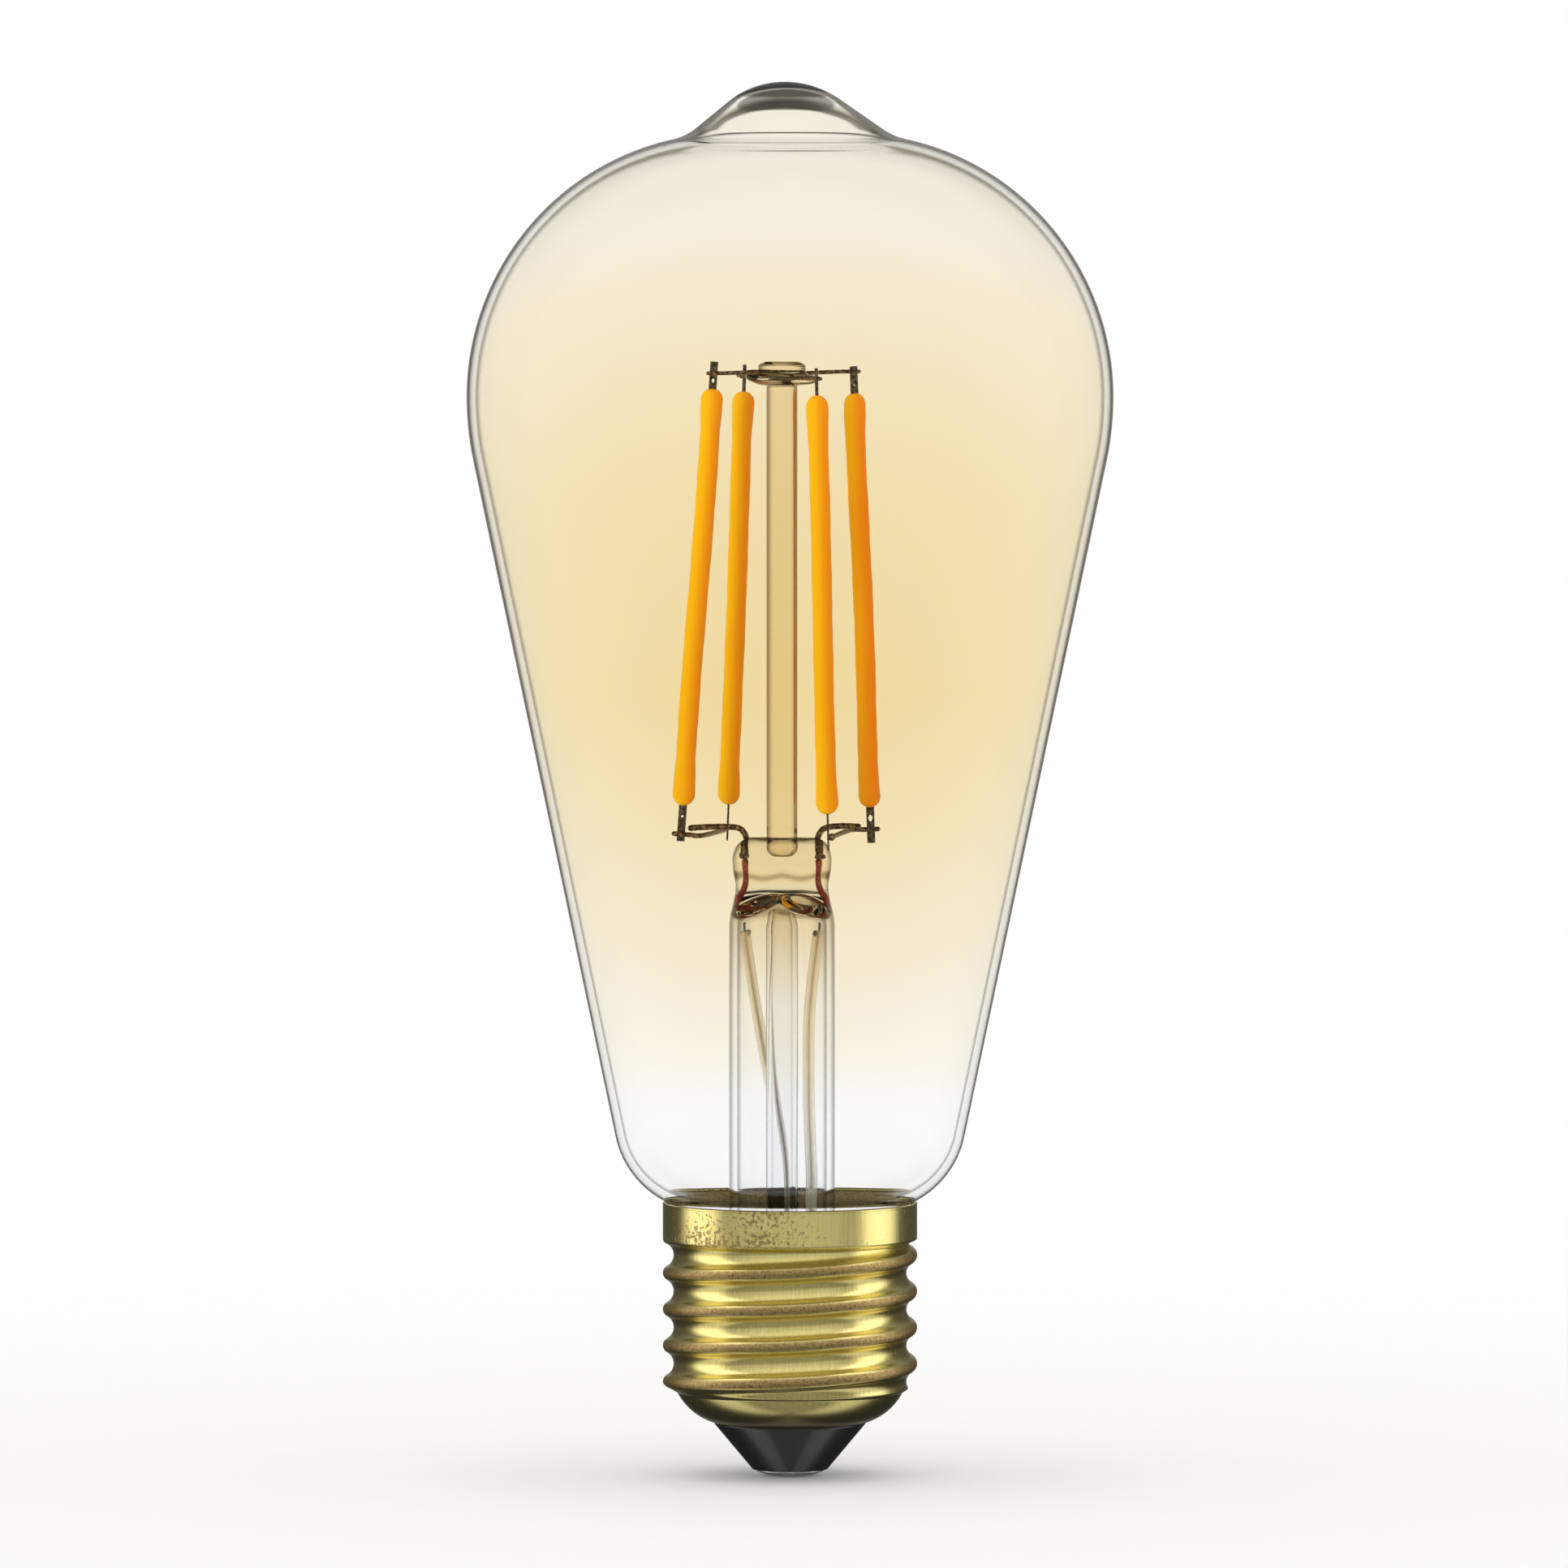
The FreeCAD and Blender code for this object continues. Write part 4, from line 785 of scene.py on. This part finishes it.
def tab_patch(n, upper, hole, hole_at, visible, width=TAB_WIDTH):
    """Punched strip: between the rim of an oval hole and the strip's rectangular edge runs a flat ring on
    each side, and two walls join the rings. The rectangle's radius at angle a is the nearer of w / cos a and
    l / sin a."""
    sign = 1 if upper else -1
    low, high = filament_ends(n)
    across, normal, axis = filament_frame(n, upper)
    origin = high if upper else low
    ahead, behind = visible - hole_at, hole_at + TAB_HOLD
    corners = np.arctan2([behind, ahead, ahead, behind], [width / 2] * 4) * np.array([-1, 1, 1, -1])
    corners[2:] = np.array([math.pi - corners[1], -math.pi - corners[0]])
    a = np.sort(np.concatenate([np.linspace(-math.pi, math.pi, 33)[:-1], corners]))
    c, s = np.cos(a), np.sin(a)
    up = np.where(s > 0, ahead, behind)
    reach = np.minimum(width / 2 / np.maximum(np.abs(c), 1e-6), up / np.maximum(np.abs(s), 1e-6))
    rim = np.stack([hole[0] * c, hole[1] * s], -1)
    edge = np.stack([reach * c, reach * s], -1)
    rings = []
    bevel = 0.035
    for flat, height in ((rim, -1), (rim, 1), (edge * (1 - bevel), 1), (edge, 0.6), (edge, -0.6),
                         (edge * (1 - bevel), -1)):
        rings.append(np.concatenate([flat, np.full((len(a), 1), height * TAB_THICKNESS / 2)], -1))
    flat = np.stack(rings)
    along = (flat[..., 1] + hole_at) * sign
    grid = origin + flat[..., :1] * across + flat[..., 2:] * normal + along[..., None] * axis
    return skin(grid, along=True)


def tabs(n):
    """Both end tabs of a filament."""
    upper_hole, lower_hole = {0: ((0.2, 0.22), (0.12, 0.12)), 3: ((0.1, 0.1), (0.2, 0.33))}.get(
        n, ((0.15, 0.2), (0.15, 0.2)))
    width = {1: 0.42, 2: 0.36}.get(n, TAB_WIDTH)
    upper_hole = (min(upper_hole[0], 0.25 * width), upper_hole[1])
    patches = [tab_patch(n, True, upper_hole, 0.8, UPPER_TAB, width),
               tab_patch(n, False, lower_hole, 1.1, LOWER_TAB)]
    make("end_tabs_%d" % (n + 1), patches, tab_metal, 35)


# ---------------------------------------- wires
def weld(centre, size, seed):
    """A lump of weld metal: a ball whose radius swells and shrinks with a few waves."""
    v = np.linspace(0, math.pi, 14)[:, None]
    a = np.linspace(0, TURN, 18, endpoint=False)[None]
    r = 1 + 0.16 * np.sin(3 * a + seed) * np.sin(v) ** 2 + 0.12 * np.cos(2 * v + seed)
    ball = np.stack([r * np.sin(v) * np.cos(a), r * np.sin(v) * np.sin(a), r * np.cos(v) + 0 * a], -1)
    ball[0], ball[-1] = ball[0, :1], ball[-1, :1]
    return skin(ball * np.array(size) + np.array(centre))


def at_tab(n, height, radius, upper, past=0.0):
    """Centre of a wire against a tab's face, moved on past the tab along its width."""
    across, normal, _ = filament_frame(n, upper)
    return filament_point(n, height) + normal * (TAB_THICKNESS / 2 + 0.01 + radius) + across * past


# name, the two filaments, height
UPPER_WIRES = (("upper_wire_outer", 0, 3, 110.3), ("upper_wire_inner", 1, 2, 109.85))


def upper_wires():
    """Two thin wires through the button, each between the tops of two opposite filaments."""
    for name, a, b, height in UPPER_WIRES:
        r = UPPER_WIRE_RADIUS
        start = at_tab(a, height, r, True, WIRE_PAST)
        end = at_tab(b, height, r, True, WIRE_PAST if b == 3 else 0.25)
        line = [start + (end - start) * t for t in (0, 0.15, 0.36, 0.5, 0.64, 0.85, 1)]
        line[2][2] += 0.12
        line[4][2] -= 0.08
        patches = [skin(wire(line, r, (0, 0, 1), 120, 12, 0.06)),
                   weld(at_tab(a, height, r, True), (0.26, 0.26, 0.22), 1.0),
                   weld(at_tab(b, height, r, True), (0.26, 0.26, 0.22), 2.4)]
        make(name, patches, wire_metal, 50)


# side, name, outer and inner filament, reach and depth of the free end
HOOKS = ((-1, "left", 0, 1, 9.4, -1.6), (1, "right", 3, 2, 7.9, 1.3))


def lower_wires():
    """Stiff leads bent over from the seal, and the cross wires under them that carry the lower tabs."""
    for side, name, outer, inner, reach, depth in HOOKS:
        x = -STEM_OFFSET
        z = HOOK_HEIGHT
        foot = x + side * HOOK_FOOT
        points = [(foot, 0, 61.9), (foot, 0, 63.0), (x + side * 3.6, 0, 64.0),
                  (x + side * 4.1, depth * 0.08, z - 0.25), (x + side * 5.0, depth * 0.25, z),
                  (x + side * (reach + 5.0) / 2, depth * 0.6, z + 0.04), (x + side * reach, depth, z - 0.06)]
        patches = [skin(wire(points, HOOK_RADIUS, (0, 1, 0), 120, 16, 0.05)),
                   weld((foot, 0, 62.0), (0.42, 0.42, 0.34), 0.7 + side)]
        make("hook_wire_" + name, patches, wire_metal, 50)
        r, low = CROSS_RADIUS, z - CROSS_DROP
        start, end = at_tab(outer, low, r, False, WIRE_PAST), at_tab(inner, low, r, False, WIRE_PAST)
        run_a, run_b = filament_frame(outer, False)[0], filament_frame(inner, False)[0]
        points = [start, start - run_a * 1.6, start - run_a * 3.0, end - run_b * 3.2, end - run_b * 1.6, end]
        patches = [skin(wire(points, r, (0, 0, 1), 150, 14, 0.05)),
                   weld(at_tab(outer, low, r, False), (0.36, 0.34, 0.3), 1.3),
                   weld(at_tab(inner, low, r, False), (0.36, 0.36, 0.34), 0.2)]
        make("cross_wire_" + name, patches, wire_metal, 50)


LEADS = {"left": ((-3.85, 0.0, 55.4), (-3.4, 0.5, 52.0), (-2.7, 2.2, 47.0), (-1.3, 2.75, 39.5),
                  (0.6, 2.8, 31.5), (1.1, 2.9, 25.0), (2.0, 3.9, 18.5), (3.0, 4.6, 14.7), (3.0, 4.6, 12.6)),
         "right": ((3.85, 0.0, 55.4), (3.3, -0.5, 52.0), (2.7, -0.9, 46.0), (2.65, -1.0, 38.5),
                   (2.9, -0.8, 30.5), (3.1, -0.3, 25.0), (5.2, 1.0, 17.8), (7.4, 1.6, 14.7),
                   (7.4, 1.6, 12.6))}


def sealed_wires():
    """Red copper-clad wires in the seal, the leads that go on down the tube, and their sleeves."""
    for side, name in ((-1, "left"), (1, "right")):
        x = -STEM_OFFSET
        points = [(x + side * 3.5, 0, 61.7), (x + side * 3.45, 0, 60.3), (x + side * 3.55, 0, 59.0),
                  (x + side * 3.9, 0, 57.6), (x + side * 4.1, 0, 56.2)]
        make("seal_wire_" + name, [skin(wire(points, SEAL_WIRE_RADIUS, (0, 1, 0), 60, 14, 0.04))],
             sealed_copper, 50)
        route = [(p[0] + x, p[1], p[2]) for p in LEADS[name]]
        patches = [skin(wire(route, LEAD_RADIUS, (0, 1, 0), 150, 12, 0.05)),
                   weld((route[1][0], route[1][1], route[1][2] + 2.4), (0.3, 0.3, 0.28), 0.4 + side)]
        make("outer_lead_" + name, patches, lead_metal, 50)
        path = curve_through(route, 400)
        path = path[(path[:, 2] < 54.6) & (path[:, 2] > 13.4)][::2]
        bore = sweep(path[::-1], SLEEVE_BORE, (0, 1, 0))
        grid = np.concatenate([sweep(path, SLEEVE_RADIUS, (0, 1, 0)), bore])
        make("insulating_sleeve_" + name, [skin(grid, along=True)], sleeving, 50)


# ---------------------------------------- screw cap
def thread_wave(offset):
    """Radius of the rolled thread at an axial distance from a crest: crest arc and root arc touch."""
    half_pitch = THREAD_PITCH / 2
    turn = 2 * math.atan((THREAD_MAJOR - THREAD_MINOR) / half_pitch)
    root_round = half_pitch / math.sin(turn) - CREST_ROUND
    away = np.abs(offset)
    crest = THREAD_MAJOR - CREST_ROUND + np.sqrt(np.maximum(CREST_ROUND ** 2 - away ** 2, 0))
    root = THREAD_MINOR + root_round - np.sqrt(np.maximum(root_round ** 2 - (half_pitch - away) ** 2, 0))
    return np.where(away <= CREST_ROUND * math.sin(turn), crest, root)


def shell_radius(a, z):
    """Radius of the brass at angle a and height z: thread below the skirt, cut off by the round bottom, with
    the smaller of the two taken and the corner between them rounded."""
    rise = z - THREAD_PHASE - THREAD_PITCH * a / TURN
    wave = thread_wave(rise - np.round(rise / THREAD_PITCH) * THREAD_PITCH)
    body = wave + (SKIRT_RADIUS - wave) * smooth(z, SKIRT_BOTTOM - SKIRT_EDGE, SKIRT_BOTTOM + SKIRT_EDGE)
    below = np.minimum(z, DISH_TOP)
    dish = DISH_CENTRE[0] + np.sqrt(DISH_RADIUS ** 2 - (DISH_CENTRE[1] - below) ** 2)
    dish = dish + DISH_EDGE_SLOPE * (z - below)
    share = np.maximum(DISH_BLEND - np.abs(body - dish), 0) / DISH_BLEND
    return np.minimum(body, dish) - share * share * DISH_BLEND / 4


def crest_closeness(a, z):
    """1 on the thread's crest, 0 in its root, and 0 on the skirt and the round bottom."""
    rise = z - THREAD_PHASE - THREAD_PITCH * a / TURN
    away = np.abs(rise - np.round(rise / THREAD_PITCH) * THREAD_PITCH)
    return (1 - smooth(away, 0.1, 1.1)) * (1 - smooth(z, 23.0, 23.8)) * smooth(z, 8.2, 9.2)


def screw_shell():
    """Thin brass shell: outer and inner surface over angle and height, joined by a rolled rim and the lower
    lip."""
    around, levels = 256, 220
    a = np.linspace(0, TURN, around, endpoint=False)[None]
    z = np.linspace(LIP_HEIGHT, RIM_HEIGHT - RIM_BEND, levels)[:, None]
    outer = shell_radius(a, z)
    q = np.linspace(0, math.pi, 9)[1:-1][:, None]
    bend_r = SKIRT_RADIUS - CAP_WALL / 2 + (CAP_WALL / 2 + 0.04) * np.cos(q)
    bend_z = RIM_HEIGHT - RIM_BEND + 0.24 * np.sin(q)
    zi = z[::-1][::3]
    probe = 0.02
    slope = (shell_radius(a, zi + probe) - shell_radius(a, zi - probe)) / (2 * probe)
    inner = shell_radius(a, zi) - CAP_WALL * np.sqrt(1 + slope ** 2)
    r = np.concatenate([outer, bend_r + 0 * a, inner])
    zz = np.concatenate([z + 0 * a, bend_z + 0 * a, zi + 0 * a])
    grid = np.stack([r * np.cos(a), r * np.sin(a), zz], -1)
    crest = np.concatenate([crest_closeness(a, z), 0 * (bend_r + 0 * a), 0 * inner])
    make("screw_shell", [skin(grid, along=True)], spotted_brass, 50, values=crest.reshape(-1))


def capping_cement():
    """Ring of baked cement between the neck and the shell: the bore, a top that climbs to the shell under the
    glass's heel, the outside that steps in from the skirt to the thread, and the lower edge."""
    bore = NECK_RADIUS + 0.02
    profile = outline([(bore, 16.7), (bore, 26.2), (11.6, 26.9, 0.3), (12.30, 27.1, 0.1), (12.30, 24.2, 0.3),
                       (11.30, 23.4, 0.3), (11.30, 16.8, 0.1)], closed=True, steps=6)
    make("capping_cement", [skin(lathe(profile, 128), along=True)], cement, 45)


def insulator():
    """Turned cone of black glass, with a rounded lower edge, a collar in the lip and the hollow inside."""
    profile = outline([(0.9, 0.65), (3.75, 0.65, 0.18), (LIP_RADIUS, LIP_HEIGHT - 0.02, 0.12), (6.55, 5.42),
                       (6.55, 6.3), (7.8, 6.5, 0.15), (7.8, 7.4, 0.15), (6.2, 7.4, 0.1), (5.8, 4.4, 0.6),
                       (1.9, 2.3, 0.5), (0.9, 2.3)], closed=True, steps=6)
    make("cap_insulator", [skin(lathe(profile, 128), along=True)], insulator_black, 45)


def contact():
    """Low dome with a turned groove, a flat middle and the eyelet's bore, filled by a bead of solder."""
    profile = outline([(0.0, 0.28), (0.35, 0.22, 0.1), (0.55, 0.0, 0.15), (1.3, 0.0, 0.3), (2.5, 0.16, 2.0),
                       (3.4, 0.5, 0.12), (3.4, 0.65), (0.88, 0.65, 0.1), (0.88, 2.6), (0.0, 2.6)], steps=7)
    make("centre_contact", [skin(lathe(profile, 96))], contact_silver, 45)


# ---------------------------------------- the object
for build in (glass_envelope, stem_tube, exhaust_tube, pillar, button, upper_wires, lower_wires, sealed_wires,
              screw_shell, capping_cement, insulator, contact):
    build()
for n in range(4):
    coat(n)
    tabs(n)

CARRIED = {
    "insulating_liner": liner_plastic, "driver_board": board, "radio_board": board,
    "bulk_capacitor": capacitor_sleeve, "choke_core": ferrite, "choke_winding": winding,
    "bridge_rectifier": package_black, "driver_chip": package_black, "chip_components": small_part,
    "radio_shield": steel, "radio_antenna": gold, "fusible_resistor": resistor_coat, "resistor_lead": tinned,
    "contact_lead": tinned, "shell_lead": tinned, "solder_joints": solder_metal,
    **{"filament_strip_%d" % n: ceramic for n in range(1, 5)},
    **{"led_chips_%d" % n: chip_lens for n in range(1, 5)}}
for node, material in CARRIED.items():
    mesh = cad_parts[node].data
    mesh.materials.clear()
    mesh.materials.append(material)

# ---------------------------------------- studio
# A white backdrop to the eye. Through glass, steep directions are dark and warm, which draws the edges.
# Light that has met a dull surface inside the glass is stronger, to make up for what the glass keeps out.
# Surfaces mirror two side lights, a soft front light, a narrow back light and a weak overhead one.
world = bpy.data.worlds.new("studio")
bpy.context.scene.world = world
sky = Net(world)
direction = sky.add("ShaderNodeTexCoord", out="Generated")
x, y, z = (sky.axis(letter, direction) for letter in "XYZ")
level = (x * x + y * y + 1e-6).call("SQRT")
beside = (x.call("ABSOLUTE") / level).rise(0.90, 0.985)
ahead = (0 - y / level).rise(-0.1, 0.9)
behind = (y / level).rise(0.965, 0.995)
overhead = z.rise(0.2, 0.8)
below = 1 - z.rise(-0.35, 0.0)
studio = (0.08 + 1.7 * beside + 0.64 * ahead + 0.25 * behind) * (1 - 0.5 * below) + 0.30 * overhead
steep = z.rise(0.2, 0.5).call("MAXIMUM", (0 - z).rise(0.6, 0.85))
clear = 1 - 0.93 * steep
through = sky.add("ShaderNodeLightPath", out="Is Transmission Ray")
mirrored = sky.add("ShaderNodeLightPath", out="Is Glossy Ray") * (1 - through)
spread = sky.add("ShaderNodeLightPath", out="Is Diffuse Ray")
inside = through * sky.add("ShaderNodeLightPath", out="Diffuse Depth").call("MINIMUM", 1.0)
bright = 1 + through * (clear - 1) + spread * 0.07
bright = bright + inside * (1.9 - bright)
bright = bright + mirrored * (studio - bright)
glow = sky.mix(through * steep, (1.0, 1.0, 1.0), (1.0, 0.86, 0.60))
backdrop = sky.add("ShaderNodeBackground", (), {"Color": glow, "Strength": bright})
sky.add_output("ShaderNodeOutputWorld", backdrop)

FLOOR_HALF = 320               # half the floor's side


@finish("pale_floor")
def pale_floor(net):
    """White sweep that fades out towards its edge."""
    speck = net.noise(0.05, 3.0)
    paper = net.shader(base_color=net.mix(speck, (0.93, 0.93, 0.93), (0.94, 0.94, 0.94)), roughness=0.9)
    away = net.place().call_length().rise(0.10, 0.30)
    nothing = net.add("ShaderNodeBsdfTransparent")
    return net.add("ShaderNodeMixShader", (), {0: away, 1: paper, 2: nothing})


side = FLOOR_HALF * MM
floor_mesh = bpy.data.meshes.new("floor")
floor_corners = [(-side, -side, 0), (side, -side, 0), (side, side, 0), (-side, side, 0)]
floor_mesh.from_pydata(floor_corners, [], [(0, 1, 2, 3)])
floor_mesh.materials.append(pale_floor)
floor = bpy.data.objects.new("floor", floor_mesh)
bpy.context.scene.collection.objects.link(floor)
floor.visible_glossy = False
floor.visible_transmission = False

VIEW_WIDTH = 156.56            # width in view at the lamp's axis
VIEW_HEIGHT = 69.25            # the camera looks at this height
VIEW_DISTANCE = 1500.0
VIEW_TILT = math.radians(2.7)
camera_data = bpy.data.cameras.new("camera")
camera_data.sensor_width = 36.0
camera_data.lens = 36.0 * VIEW_DISTANCE / VIEW_WIDTH
camera_data.clip_start = 0.01
camera = bpy.data.objects.new("camera", camera_data)
reach = Vector((0, -math.cos(VIEW_TILT), math.sin(VIEW_TILT))) * VIEW_DISTANCE
camera.location = (Vector((-0.6, 0, VIEW_HEIGHT)) + reach) * MM
camera.rotation_euler = (math.pi / 2 - VIEW_TILT, 0, 0)
bpy.context.scene.collection.objects.link(camera)
bpy.context.scene.camera = camera
bpy.context.scene.view_settings.view_transform = "Standard"
